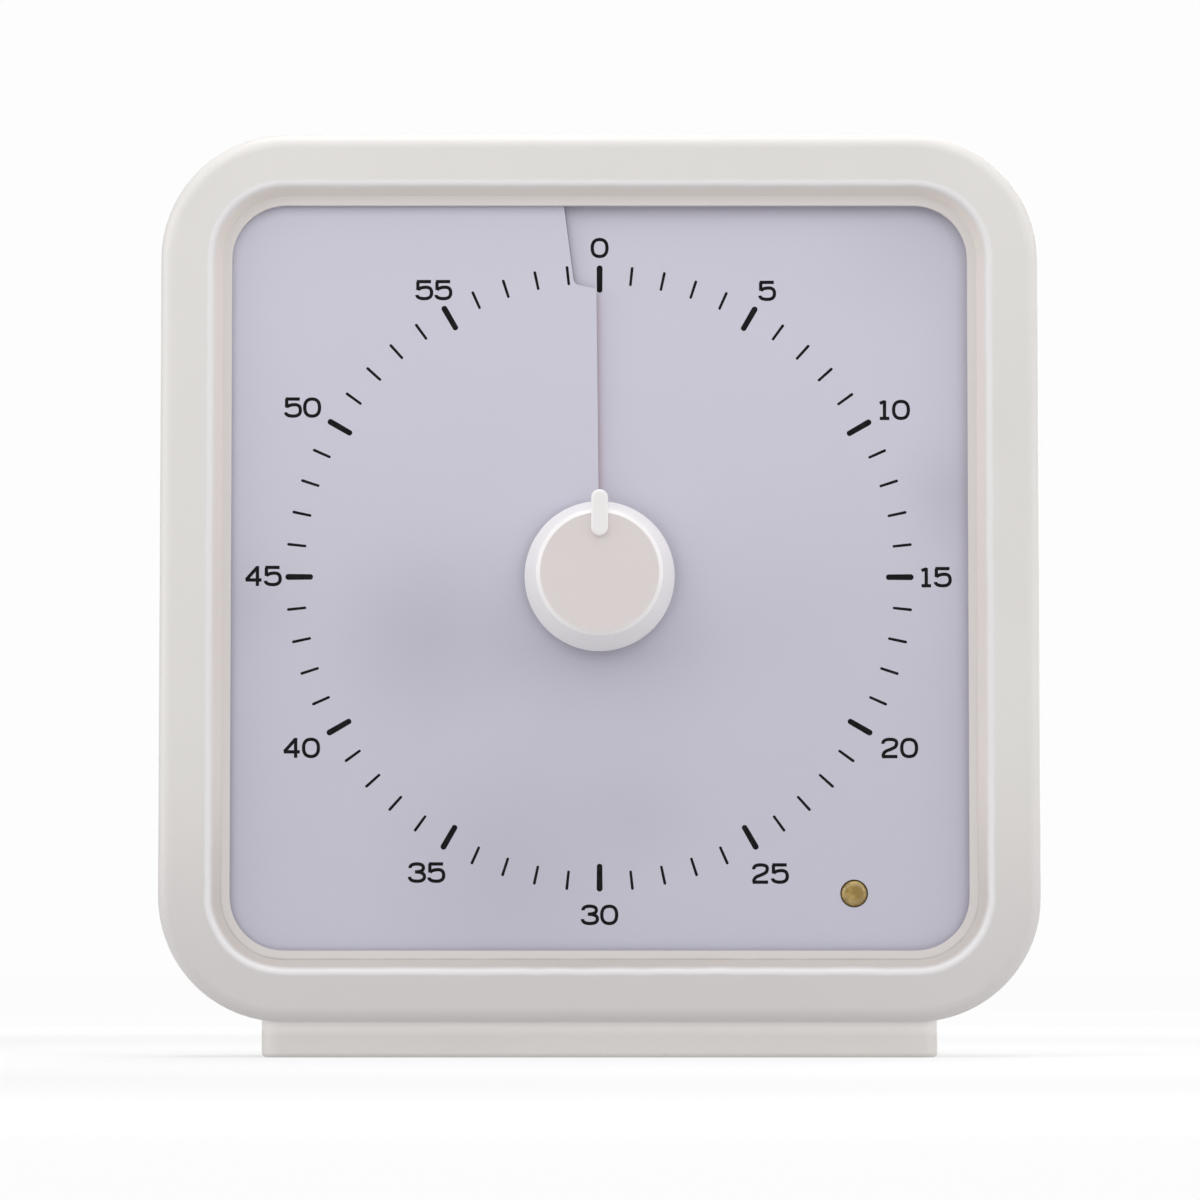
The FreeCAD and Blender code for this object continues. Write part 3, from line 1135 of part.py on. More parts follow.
def build_movement_leads():
    """The coil's leads and the alarm contacts', out of the movement to the board's top edge."""
    coil_end = f"({COIL_X} + coil_length / 2)"
    coil_low = f"({COIL_Y} - coil_lead_y)"
    split = "(3 * fine_lead_radius / 2)"
    block = f"({BLADE_REAR} + blade_width / 2)"
    starts = [(BLOCK_RIGHT, BLOCK_Y, f"({block} + 2 * {split})"),
              (BLOCK_RIGHT, BLOCK_Y, f"({block} - 2 * {split})"),
              (coil_end, coil_low, f"({COIL_LEVEL} + {split} + fine_lead_radius)"),
              (coil_end, coil_low, f"({COIL_LEVEL} - {split} + fine_lead_radius)")]
    leads = []
    for order, (x, y, level) in enumerate(starts):
        across = f"(fine_lead_first + {order} * fine_lead_step)"
        leads.append(lead("fine_lead_radius", (x, y, level), (across, y, level),
                          (across, f"({BOARD_TOP} + fine_lead_bend)", BOARD_MIDDLE),
                          (across, BOARD_TOP, BOARD_MIDDLE)))
    return new_feature("movement_leads", Part.makeCompound(leads))


def build_switch_leads():
    """Three leads from the switch board's lower edge to the circuit board's top edge."""
    level = f"(({SWITCH_BOARD_REAR} + {SWITCH_BOARD_FRONT}) / 2)"
    leads = []
    for order in range(3):
        x = f"(switch_lead_x + {order} * switch_lead_step)"
        leads.append(lead("lead_radius", (x, SWITCH_BOARD_LOW, level),
                          (x, f"({SWITCH_BOARD_LOW} - switch_lead_start)", level),
                          (x, f"({BOARD_TOP} + lead_end)", BOARD_MIDDLE),
                          (x, BOARD_TOP, BOARD_MIDDLE)))
    return new_feature("switch_leads", Part.makeCompound(leads))


# Screws: each group of like screws is one sub-part


def screw_group(label, places, seat, sizes, mirror=False, tilt=0.0):
    """Like screws whose heads sit on one level and whose shanks run on past it."""
    shank, length, head, head_height = (value(size) for size in sizes)
    direction = -1 if mirror else 1
    screws = []
    for x, y in places:
        centre = Vector(value(x), value(y), value(seat))
        along = Vector(0, 0, direction)
        screw = Part.makeCylinder(shank, length, centre, along)
        cap = Part.makeCylinder(head, head_height, centre, along * -1)
        top = centre - along * head_height
        slot_width = value("screw_slot")
        slots = [Part.makeBox(1.2 * head, slot_width, head_height / 2),
                 Part.makeBox(slot_width, 1.2 * head, head_height / 2)]
        for slot in slots:
            box = slot.BoundBox
            low = top.z if direction > 0 else top.z - head_height / 2
            slot.translate(Vector(centre.x - box.XLength / 2, centre.y - box.YLength / 2, low))
            cap = cap.cut(slot)
        whole = screw.fuse(cap)
        whole.rotate(Vector(0, 0, 0), Vector(1, 0, 0), tilt)
        screws.append(whole)
    return new_feature(label, Part.makeCompound(screws))


def build_screws():
    """The screws of the case, the dial support, the movement, the boards and the foot."""
    large = ("screw_radius", "screw_length", "head_radius", "head_height")
    small = ("small_screw", "small_screw_length", "small_head", "small_head_height")
    short = ("small_screw", "(support_thickness + ear_thickness - hub_gap)", "small_head",
             "small_head_height")
    foot = ("screw_radius", "foot_screw_length", "head_radius", "head_height")
    groups = [
        screw_group("case_screws", CASE_BOSSES, f"({REAR} + case_screw_sink)", large),
        screw_group("support_screws", FRAME_POSTS, SUPPORT_BACK, small),
        screw_group("movement_screws", ear_places(), f"({BOX_FRONT} - ear_thickness)", short),
        screw_group("board_screws", board_posts(), BOARD_BACK, small),
        screw_group("switch_board_screws", switch_posts(), SWITCH_BOARD_FRONT, small,
                    mirror=True),
    ]
    seat = "(-case_height / 2 - foot_screw_sink)"
    places = [(x, f"(-({CASE_MIDDLE} + {y}))") for x, y in FOOT_SCREWS]
    return groups + [screw_group("foot_screws", places, seat, foot, tilt=-90.0)]


def main():
    """Build every sub-part, check it and write it."""
    parts = [build_front_frame(), build_rear_cover(), build_base_foot(), build_dial_card(),
             build_time_disc(), build_dial_support(), build_knob(), build_disc_hub(),
             build_spindle(), build_centre_wheel(), build_clutch_spring()]
    parts += build_alarm_switch() + build_movement_case() + build_motor() + build_rotor()
    parts += build_electronics() + build_battery() + build_switches() + build_screws()
    parts += [build_battery_leads(), build_movement_leads(), build_switch_leads()]
    parts.append(build_arbor("second_wheel", SECOND, "second_teeth", "middle_module",
                             "coarse_module", 1, DIRECTIONS["second"], DIRECTIONS["third"]))
    parts.append(build_arbor("third_wheel", THIRD, "third_teeth", "fine_module",
                             "middle_module", 2, DIRECTIONS["third"], DIRECTIONS["fourth"]))
    parts.append(build_arbor("fourth_wheel", FOURTH, "fourth_teeth", "fine_module",
                             "fine_module", 3, DIRECTIONS["fourth"], DIRECTIONS["rotor"]))
    doc.recompute()
    for item in doc.Objects:
        if "Invalid" in item.State or "Error" in item.State:
            raise ValueError(f"{item.Label} did not build: {item.State}")
    os.makedirs("parts", exist_ok=True)
    for item in parts:
        shape = item.Shape
        if shape.isNull() or not shape.isValid():
            raise ValueError(f"{item.Label} has no valid shape")
        shape.exportStep(f"parts/{item.Label}.step")
        print(item.Label, len(shape.Solids), round(shape.Volume, 1))


main()
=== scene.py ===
"""The looks of the visual countdown timer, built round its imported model."""

import logging
import math
from dataclasses import dataclass
from enum import Enum

import bmesh
import bpy
from mathutils import Matrix, Vector


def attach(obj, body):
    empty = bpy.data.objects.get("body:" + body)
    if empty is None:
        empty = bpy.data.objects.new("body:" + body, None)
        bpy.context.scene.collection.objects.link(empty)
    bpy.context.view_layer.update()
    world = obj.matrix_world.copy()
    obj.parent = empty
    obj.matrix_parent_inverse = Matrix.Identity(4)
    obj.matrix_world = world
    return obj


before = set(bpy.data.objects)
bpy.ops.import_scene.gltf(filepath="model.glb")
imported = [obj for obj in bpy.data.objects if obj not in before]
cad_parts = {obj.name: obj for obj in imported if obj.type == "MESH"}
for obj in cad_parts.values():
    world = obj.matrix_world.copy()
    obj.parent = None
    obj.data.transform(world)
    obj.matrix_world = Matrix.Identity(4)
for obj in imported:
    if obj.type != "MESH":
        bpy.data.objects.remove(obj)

LOG = logging.getLogger("timer")
MM = 0.001
DIAL_HEIGHT = 103.6 * MM
MINUTES = 60
MAJOR_STEP = 5
WHITE = (1.0, 1.0, 1.0)
NOISE_SPAN = (0.3, 0.7)

Colour = tuple[float, float, float]
Place = tuple[float, float]
Span = tuple[float, float]


class Side(Enum):
    """The side of the slit that a point of the dial card lies on."""

    BEHIND = "behind"
    IN_FRONT = "in front"


class Stroke(Enum):
    """How a stroke of a number runs."""

    OPEN = "open"
    CLOSED = "closed"


def srgb(red: float, green: float, blue: float) -> Colour:
    """The linear colour of an 8-bit screen colour.

    Args:
        red, green, blue: the screen colour, from 0 to 255.

    Returns:
        The three linear values, from 0 to 1.
    """

    def linear(level: float) -> float:
        share = level / 255.0
        return share / 12.92 if share <= 0.04045 else ((share + 0.055) / 1.055) ** 2.4

    return linear(red), linear(green), linear(blue)


def with_alpha(colour: Colour) -> tuple[float, float, float, float]:
    """The colour with a full alpha."""
    return (*colour, 1.0)


class Graph:
    """A material's node tree with short calls for the nodes that the finishes share."""

    def __init__(self, name: str) -> None:
        """Start an empty material with a Principled shader.

        Args:
            name: the material's name.
        """
        self.material = bpy.data.materials.new(name)
        self.material.use_nodes = True
        self.tree = self.material.node_tree
        self.tree.nodes.clear()
        output = self.tree.nodes.new("ShaderNodeOutputMaterial")
        self.shader = self.tree.nodes.new("ShaderNodeBsdfPrincipled")
        self.join(self.shader.outputs["BSDF"], output.inputs["Surface"])
        self.place = self.tree.nodes.new("ShaderNodeTexCoord").outputs["Object"]

    def join(self, start: bpy.types.NodeSocket, end: bpy.types.NodeSocket) -> None:
        """Link two sockets."""
        self.tree.links.new(start, end)

    def set(self, **values: object) -> None:
        """Set the shader's own sockets, named with underscores for spaces."""
        for name, value in values.items():
            self.shader.inputs[name.replace("_", " ")].default_value = value

    def noise(self, scale: float, detail: float = 2.0) -> bpy.types.NodeSocket:
        """A noise over the object's own coordinates.

        Args:
            scale: waves per metre.
            detail: octaves of finer noise.

        Returns:
            The noise's value socket.
        """
        node = self.tree.nodes.new("ShaderNodeTexNoise")
        node.inputs["Scale"].default_value = scale
        node.inputs["Detail"].default_value = detail
        self.join(self.place, node.inputs["Vector"])
        return node.outputs["Fac"]

    def math(self, operation: str, first: object, second: object = 0.0
             ) -> bpy.types.NodeSocket:
        """One arithmetic node.

        Args:
            operation: the node's operation.
            first, second: sockets or plain numbers.

        Returns:
            The result's socket.
        """
        node = self.tree.nodes.new("ShaderNodeMath")
        node.operation = operation
        for index, item in enumerate((first, second)):
            if isinstance(item, (int, float)):
                node.inputs[index].default_value = item
            else:
                self.join(item, node.inputs[index])
        return node.outputs["Value"]

    def spread(self, source: bpy.types.NodeSocket, low: float, high: float,
               out_low: float, out_high: float) -> bpy.types.NodeSocket:
        """A smooth step of one range onto another.

        Args:
            source: the value to map.
            low, high: where the source starts and ends.
            out_low, out_high: what it becomes there.

        Returns:
            The mapped value's socket.
        """
        node = self.tree.nodes.new("ShaderNodeMapRange")
        node.interpolation_type = "SMOOTHSTEP"
        for name, value in (("From Min", low), ("From Max", high), ("To Min", out_low),
                            ("To Max", out_high)):
            node.inputs[name].default_value = value
        self.join(source, node.inputs["Value"])
        return node.outputs["Result"]

    def blend(self, factor: bpy.types.NodeSocket, first: object,
              second: object) -> bpy.types.NodeSocket:
        """A mix of two colours, each a socket or a plain colour.

        Args:
            factor: the share of the second colour.
            first, second: the colours.

        Returns:
            The mixed colour's socket.
        """
        node = self.tree.nodes.new("ShaderNodeMix")
        node.data_type = "RGBA"
        self.join(factor, node.inputs["Factor"])
        for name, item in (("A", first), ("B", second)):
            socket = next(s for s in node.inputs if s.name == name and s.type == "RGBA")
            if isinstance(item, tuple):
                socket.default_value = with_alpha(item)
            else:
                self.join(item, socket)
        return next(s for s in node.outputs if s.type == "RGBA")

    def bump(self, height: bpy.types.NodeSocket, distance: float) -> None:
        """Relief on the shader's normal.

        Args:
            height: the relief, from 0 to 1.
            distance: its depth in metres.
        """
        node = self.tree.nodes.new("ShaderNodeBump")
        node.inputs["Distance"].default_value = distance
        self.join(height, node.inputs["Height"])
        self.join(node.outputs["Normal"], self.shader.inputs["Normal"])

    def cloud(self, scale: float, detail: float, low: float, high: float
              ) -> bpy.types.NodeSocket:
        """A noise stretched from 0 to 1 between two of its levels."""
        return self.spread(self.noise(scale, detail), low, high, 0.0, 1.0)

    def colour(self, source: bpy.types.NodeSocket) -> None:
        """Give the shader its colour."""
        self.join(source, self.shader.inputs["Base Color"])

    def rough(self, scale: float, detail: float, low: float, high: float) -> None:
        """Let the shader's roughness wander.

        Args:
            scale: waves per metre.
            detail: octaves of finer noise.
            low, high: the least and the most roughness.
        """
        self.join(self.spread(self.noise(scale, detail), *NOISE_SPAN, low, high),
                  self.shader.inputs["Roughness"])

    def reach(self, first: bpy.types.NodeSocket, second: bpy.types.NodeSocket
              ) -> bpy.types.NodeSocket:
        """The length that two distances at right angles span."""
        squares = [self.math("MULTIPLY", side, side) for side in (first, second)]
        return self.math("SQRT", self.math("ADD", *squares))

    def axis(self, name: str) -> bpy.types.NodeSocket:
        """One of the object's own coordinates, X, Y or Z."""
        node = self.tree.nodes.new("ShaderNodeSeparateXYZ")
        self.join(self.place, node.inputs["Vector"])
        return node.outputs[name]

    def rounded_distance(self, half_x: float, half_z: float, corner: float,
                         centre_z: float) -> bpy.types.NodeSocket:
        """How far a point lies outside a round-cornered outline seen from the front.

        Args:
            half_x, half_z: half the outline's width and height.
            corner: its corner radius.
            centre_z: the height of its middle.

        Returns:
            The distance in metres, negative inside.
        """
        across = self.math("ABSOLUTE", self.axis("X"))
        up = self.math("ABSOLUTE", self.math("SUBTRACT", self.axis("Z"), centre_z))
        over_x = self.math("SUBTRACT", across, half_x - corner)
        over_z = self.math("SUBTRACT", up, half_z - corner)
        out_x = self.math("MAXIMUM", over_x, 0.0)
        out_z = self.math("MAXIMUM", over_z, 0.0)
        reach = self.reach(out_x, out_z)
        within = self.math("MINIMUM", self.math("MAXIMUM", over_x, over_z), 0.0)
        return self.math("SUBTRACT", self.math("ADD", reach, within), corner)


@dataclass(frozen=True)
class MouldedPlastic:
    """Satin moulded plastic: faint colour drift, fine spark texture and a soft sheen."""

    name: str
    colour: Colour
    drift: float = 0.03
    roughness: float = 0.42
    grain: float = 2600.0
    relief: float = 0.000012

    def shade(self, graph: Graph) -> bpy.types.NodeSocket:
        """The plastic's colour, drifting a little over the piece."""
        darker = tuple(level * (1.0 - self.drift) for level in self.colour)
        return graph.blend(graph.cloud(22.0, 3.0, 0.35, 0.65), darker, self.colour)

    def finish(self, graph: Graph) -> None:
        """Roughness, grain and sheen."""
        graph.rough(60.0, 3.0, self.roughness - 0.04, self.roughness + 0.05)
        graph.bump(graph.noise(self.grain), self.relief)
        graph.set(Specular_IOR_Level=0.5, IOR=1.48)

    def material(self) -> bpy.types.Material:
        """The finished material."""
        graph = Graph(self.name)
        graph.colour(self.shade(graph))
        self.finish(graph)
        return graph.material


@dataclass(frozen=True)
class BezelPlastic(MouldedPlastic):
    """The case plastic on the front shell, with painted light: shade low down, a highlight on the
    bead, a warm reflection on the slope and shade on the ledge.
    """

    # Painted shade: the colours low down are darker, as the light falls off towards the bottom.
    low: Colour = srgb(214, 210, 209)
    low_slope: Colour = srgb(196, 189, 186)
    low_span: Span = (0.012, 0.070)
    half_x: float = 0.0838
    half_z: float = 0.0848
    corner: float = 0.0158
    centre_z: float = DIAL_HEIGHT
    # Painted highlight on the bead.
    bead: Colour = srgb(239, 237, 238)
    # A warm painted reflection and shade on the slope.
    slope: Colour = srgb(230, 222, 216)
    # Painted shade on the ledge by the window.
    ledge: Colour = srgb(226, 220, 218)
    wander: float = 0.0005
    bead_rise: Span = (-0.0002, 0.0004)
    bead_fall: Span = (0.0008, 0.0017)
    slope_start: Span = (-0.0006, -0.0001)
    ledge_start: Span = (-0.0024, -0.0018)

    def shade(self, graph: Graph) -> bpy.types.NodeSocket:
        """The case colour with painted shade low down, a painted highlight on its bead, a warm
        painted reflection on its slope and painted shade on its ledge.
        """
        # Painted shade: darker towards the bottom of the shell.
        height = graph.spread(graph.axis("Z"), *self.low_span, 1.0, 0.0)
        plain = graph.blend(height, super().shade(graph), self.low)
        edge = graph.rounded_distance(self.half_x, self.half_z, self.corner, self.centre_z)
        edge = graph.math("ADD", edge, graph.math("MULTIPLY", graph.noise(140.0), self.wander))
        # Painted highlight: a lighter ring along the bead of the inner edge.
        bead = graph.math("MULTIPLY", graph.spread(edge, *self.bead_rise, 0.0, 1.0),
                          graph.spread(edge, *self.bead_fall, 1.0, 0.0))
        lit = graph.blend(bead, plain, self.bead)
        # The slope's warm painted reflection, with painted shade low down.
        slope = graph.blend(height, self.slope, self.low_slope)
        with_slope_reflection = graph.blend(graph.spread(edge, *self.slope_start, 1.0, 0.0), lit, slope)
        # Painted shade on the ledge.
        return graph.blend(graph.spread(edge, *self.ledge_start, 1.0, 0.0), with_slope_reflection, self.ledge)


@dataclass(frozen=True)
class FootPlastic(MouldedPlastic):
    """The foot's plastic, painted paler where it meets the case: painted light that lifts the
    shade under the case's edge.
    """

    # Painted light: a paler top that lifts the shade under the case's overhang.
    pale: Colour = srgb(250, 247, 244)
    pale_span: Span = (0.0040, 0.0074)

    def shade(self, graph: Graph) -> bpy.types.NodeSocket:
        """The foot's colour, painted paler towards its top as painted light."""
        # Painted light towards the top of the foot.
        height = graph.spread(graph.axis("Z"), *self.pale_span, 0.0, 1.0)
        return graph.blend(height, super().shade(graph), self.pale)


@dataclass(frozen=True)
class KnobPlastic(MouldedPlastic):
    """The knob's plastic: the side and rib in the plastic's colour, and a finely sparked face
    painted greyer as shade.
    """

    # Painted shade: the flat face greyer than the side and rib, as the light falls on it.
    face: Colour = srgb(229, 221, 220)
    face_span: Span = (0.0125, 0.0130)
    face_y: float = -0.0312
    rib_y: float = -0.0315
    centre_z: float = DIAL_HEIGHT

    def shade(self, graph: Graph) -> bpy.types.NodeSocket:
        """The side's colour with the flat face painted greyer, as painted shade, inside a bright
        ring at its edge.
        """
        plain = super().shade(graph)
        up = graph.math("SUBTRACT", graph.axis("Z"), self.centre_z)
        reach = graph.reach(up, graph.axis("X"))
        inside = graph.spread(reach, *self.face_span, 1.0, 0.0)
        front = graph.math("LESS_THAN", graph.axis("Y"), self.face_y)
        below_rib = graph.math("GREATER_THAN", graph.axis("Y"), self.rib_y)
        # Painted shade over the flat face, short of its edge.
        share = graph.math("MULTIPLY", graph.math("MULTIPLY", inside, front), below_rib)
        return graph.blend(share, plain, self.face)


@dataclass(frozen=True)
class Patch:
    """A broad faint darker patch on the dial sheet, part painted shadow and part uneven tone: its
    middle, its reach and its depth.
    """

    x: float
    z: float
    reach: float
    depth: float


@dataclass(frozen=True)
class DialSheet:
    """The dial's printed sheet: pale lavender grey, painted darker towards the bottom as shade,
    with broad darker patches that are part painted shadow and part uneven tone.
    """

    name: str = "dial_sheet"
    # Painted shade: the sheet is darker towards the bottom, as the light falls off.
    high: Colour = srgb(211, 209, 223)
    low: Colour = srgb(203, 201, 215)
    dull: Colour = srgb(160, 158, 171)
    edge: Colour = srgb(236, 235, 242)
    height_span: Span = (0.035, 0.175)
    wander: float = 0.010
    edge_span: Span = (0.3, 0.6)
    # Darker patches: part painted shadow, part uneven tone of the sheet.
    patches: tuple[Patch, ...] = (
        Patch(-0.037, 0.091, 0.034, 0.26), Patch(-0.022, 0.042, 0.040, 0.20),
        Patch(0.076, 0.121, 0.022, 0.22), Patch(-0.076, 0.098, 0.026, 0.14),
        Patch(0.010, 0.052, 0.022, 0.14), Patch(0.066, 0.176, 0.030, 0.12))

    def material(self) -> bpy.types.Material:
        """The finished material."""
        graph = Graph(self.name)
        # Painted shade from top to bottom.
        height = graph.spread(graph.axis("Z"), *self.height_span, 1.0, 0.0)
        sheet = graph.blend(height, self.high, self.low)
        wander = graph.math("MULTIPLY", graph.noise(24.0, 3.0), self.wander)
        # Each patch darkens the sheet: part painted shadow, part uneven tone.
        for patch in self.patches:
            along = graph.math("SUBTRACT", graph.axis("X"), patch.x)
            up = graph.math("SUBTRACT", graph.axis("Z"), patch.z)
            reach = graph.math("ADD", graph.reach(along, up), wander)
            share = graph.spread(reach, 0.0, patch.reach, patch.depth, 0.0)
            sheet = graph.blend(share, sheet, self.dull)
        cut = graph.spread(self.facing(graph), *self.edge_span, 1.0, 0.0)
        graph.colour(graph.blend(cut, sheet, self.edge))
        graph.rough(30.0, 4.0, 0.34, 0.46)
        graph.bump(graph.noise(3000.0), 0.000004)
        graph.set(Specular_IOR_Level=0.45)
        return graph.material

    def facing(self, graph: Graph) -> bpy.types.NodeSocket:
        """How squarely the surface faces the front, so that the cut edges can be told."""
        geometry = graph.tree.nodes.new("ShaderNodeNewGeometry")
        split = graph.tree.nodes.new("ShaderNodeSeparateXYZ")
        graph.join(geometry.outputs["True Normal"], split.inputs["Vector"])
        return graph.math("ABSOLUTE", split.outputs["Y"])


@dataclass(frozen=True)
class Film:
    """A smooth coloured film with the faint waves of a flexible sheet."""

    name: str
    colour: Colour
    roughness: float = 0.3
    depth: float = 0.85

    def material(self) -> bpy.types.Material:
        """The finished material."""
        graph = Graph(self.name)
        deeper = tuple(level * self.depth for level in self.colour)
        graph.colour(graph.blend(graph.cloud(18.0, 3.0, 0.35, 0.65), deeper, self.colour))
        graph.rough(90.0, 4.0, self.roughness - 0.05, self.roughness + 0.08)
        graph.bump(graph.noise(60.0), 0.00003)
        return graph.material


@dataclass(frozen=True)
class Ink:
    """Screen-printed ink: near black, a little uneven in its gloss."""

    name: str = "print_ink"
    colour: Colour = srgb(10, 10, 14)
    paleness: float = 0.006

    def material(self) -> bpy.types.Material:
        """The finished material."""
        graph = Graph(self.name)
        paler = tuple(level + self.paleness for level in self.colour)
        graph.colour(graph.blend(graph.cloud(900.0, 3.0, 0.4, 0.7), self.colour, paler))
        graph.rough(1500.0, 2.0, 0.5, 0.65)
        graph.set(Specular_IOR_Level=0.15)
        return graph.material


@dataclass(frozen=True)
class Lens:
    """The lamp's tinted lens, unlit."""

    name: str = "lamp_lens"
    colour: Colour = srgb(190, 164, 98)
    deep: Colour = srgb(156, 130, 72)

    def material(self) -> bpy.types.Material:
        """The finished material."""
        graph = Graph(self.name)
        graph.colour(graph.blend(graph.cloud(420.0, 2.0, 0.4, 0.65), self.deep, self.colour))
        graph.rough(600.0, 2.0, 0.12, 0.22)
        graph.set(Subsurface_Weight=0.25, Subsurface_Radius=(0.002, 0.0014, 0.0005),
                  Coat_Weight=0.6, Coat_Roughness=0.08)
        return graph.material


@dataclass(frozen=True)
class Metal:
    """Drawn, stamped or plated metal with fine rubbed marks."""

    name: str
    colour: Colour
    roughness: float = 0.3
    marks: float = 900.0
    tarnish: float = 0.86

    def material(self) -> bpy.types.Material:
        """The finished material."""
        graph = Graph(self.name)
        darker = tuple(level * self.tarnish for level in self.colour)
        cloud = graph.cloud(self.marks / 3, 3.0, 0.35, 0.7)
        graph.colour(graph.blend(cloud, darker, self.colour))
        graph.rough(self.marks, 3.0, self.roughness - 0.06, self.roughness + 0.1)
        graph.bump(graph.noise(self.marks * 2), 0.000006)
        graph.set(Metallic=1.0)
        return graph.material


class Finishes:
    """Every finish on the timer, made once."""

    def __init__(self) -> None:
        """Make the materials."""
        body = srgb(231, 228, 225)
        self.case = MouldedPlastic("case_plastic", body).material()
        self.bezel = BezelPlastic("bezel_plastic", body).material()
        self.foot = FootPlastic("foot_plastic", srgb(226, 222, 218)).material()
        self.knob = KnobPlastic("knob_plastic", srgb(249, 246, 246), drift=0.015,
                                roughness=0.34).material()
        self.dial = DialSheet().material()
        self.disc = Film("disc_film", srgb(214, 38, 44)).material()
        self.ink = Ink().material()
        self.lens = Lens().material()
        self.inner = MouldedPlastic("inner_plastic", srgb(206, 204, 200), roughness=0.5).material()
        self.gear = MouldedPlastic("gear_plastic", srgb(226, 214, 178), roughness=0.4).material()
        self.black = MouldedPlastic("black_plastic", srgb(34, 34, 36), drift=0.2,
                                    roughness=0.4).material()
        self.board = MouldedPlastic("board_lacquer", srgb(28, 92, 52), drift=0.15,
                                    roughness=0.3).material()
        self.sleeve = Film("cell_sleeve", srgb(60, 74, 98), roughness=0.28).material()
        self.steel = Metal("steel", srgb(188, 188, 192)).material()
        self.plated = Metal("plated_metal", srgb(214, 214, 210), roughness=0.2).material()
        self.brass = Metal("brass", srgb(204, 168, 96)).material()
        self.insulation = Film("lead_insulation", srgb(150, 34, 34), roughness=0.35).material()
        self.copper = Metal("copper_wire", srgb(196, 104, 62), roughness=0.28,
                            marks=2400.0).material()
        self.ferrite = Metal("ferrite", srgb(70, 70, 74), roughness=0.5).material()
        self.mark = MouldedPlastic("mark_paint", srgb(120, 118, 118), drift=0.08,
                                   roughness=0.5).material()


def dress(material: bpy.types.Material, *names: str) -> None:
    """Give CAD nodes a finish.

    Args:
        material: the finish.
        names: the nodes.
    """
    for name in names:
        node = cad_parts[name]
        if not node.material_slots:
            node.data.materials.append(material)
        for place in node.material_slots:
            place.material = material
        LOG.info("dressed %s in %s", name, material.name)


def new_piece(name: str, shape: bmesh.types.BMesh, material: bpy.types.Material,
              body: str) -> bpy.types.Object:
    """Turn a bmesh into a piece that rides on a body.

    Args:
        name: the piece's name.
        shape: its mesh, which is freed.
        material: its finish.
        body: the body that carries it.

    Returns:
        The piece's object.
    """
    bmesh.ops.recalc_face_normals(shape, faces=shape.faces)
    mesh = bpy.data.meshes.new(name)
    shape.to_mesh(mesh)
    shape.free()
    mesh.materials.append(material)
    piece = bpy.data.objects.new(name, mesh)
    bpy.context.scene.collection.objects.link(piece)
    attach(piece, body)
    LOG.info("built %s with %d faces", name, len(mesh.polygons))
    return piece


@dataclass(frozen=True)
class Line:
    """One stroke of a figure, bent through control points of a box one wide and one high."""

    points: tuple[Place, ...]
    kind: Stroke = Stroke.OPEN


@dataclass(frozen=True)
class Figure:
    """A figure drawn with strokes, and the width that it takes."""

    lines: tuple[Line, ...]
    width: float = 1.0


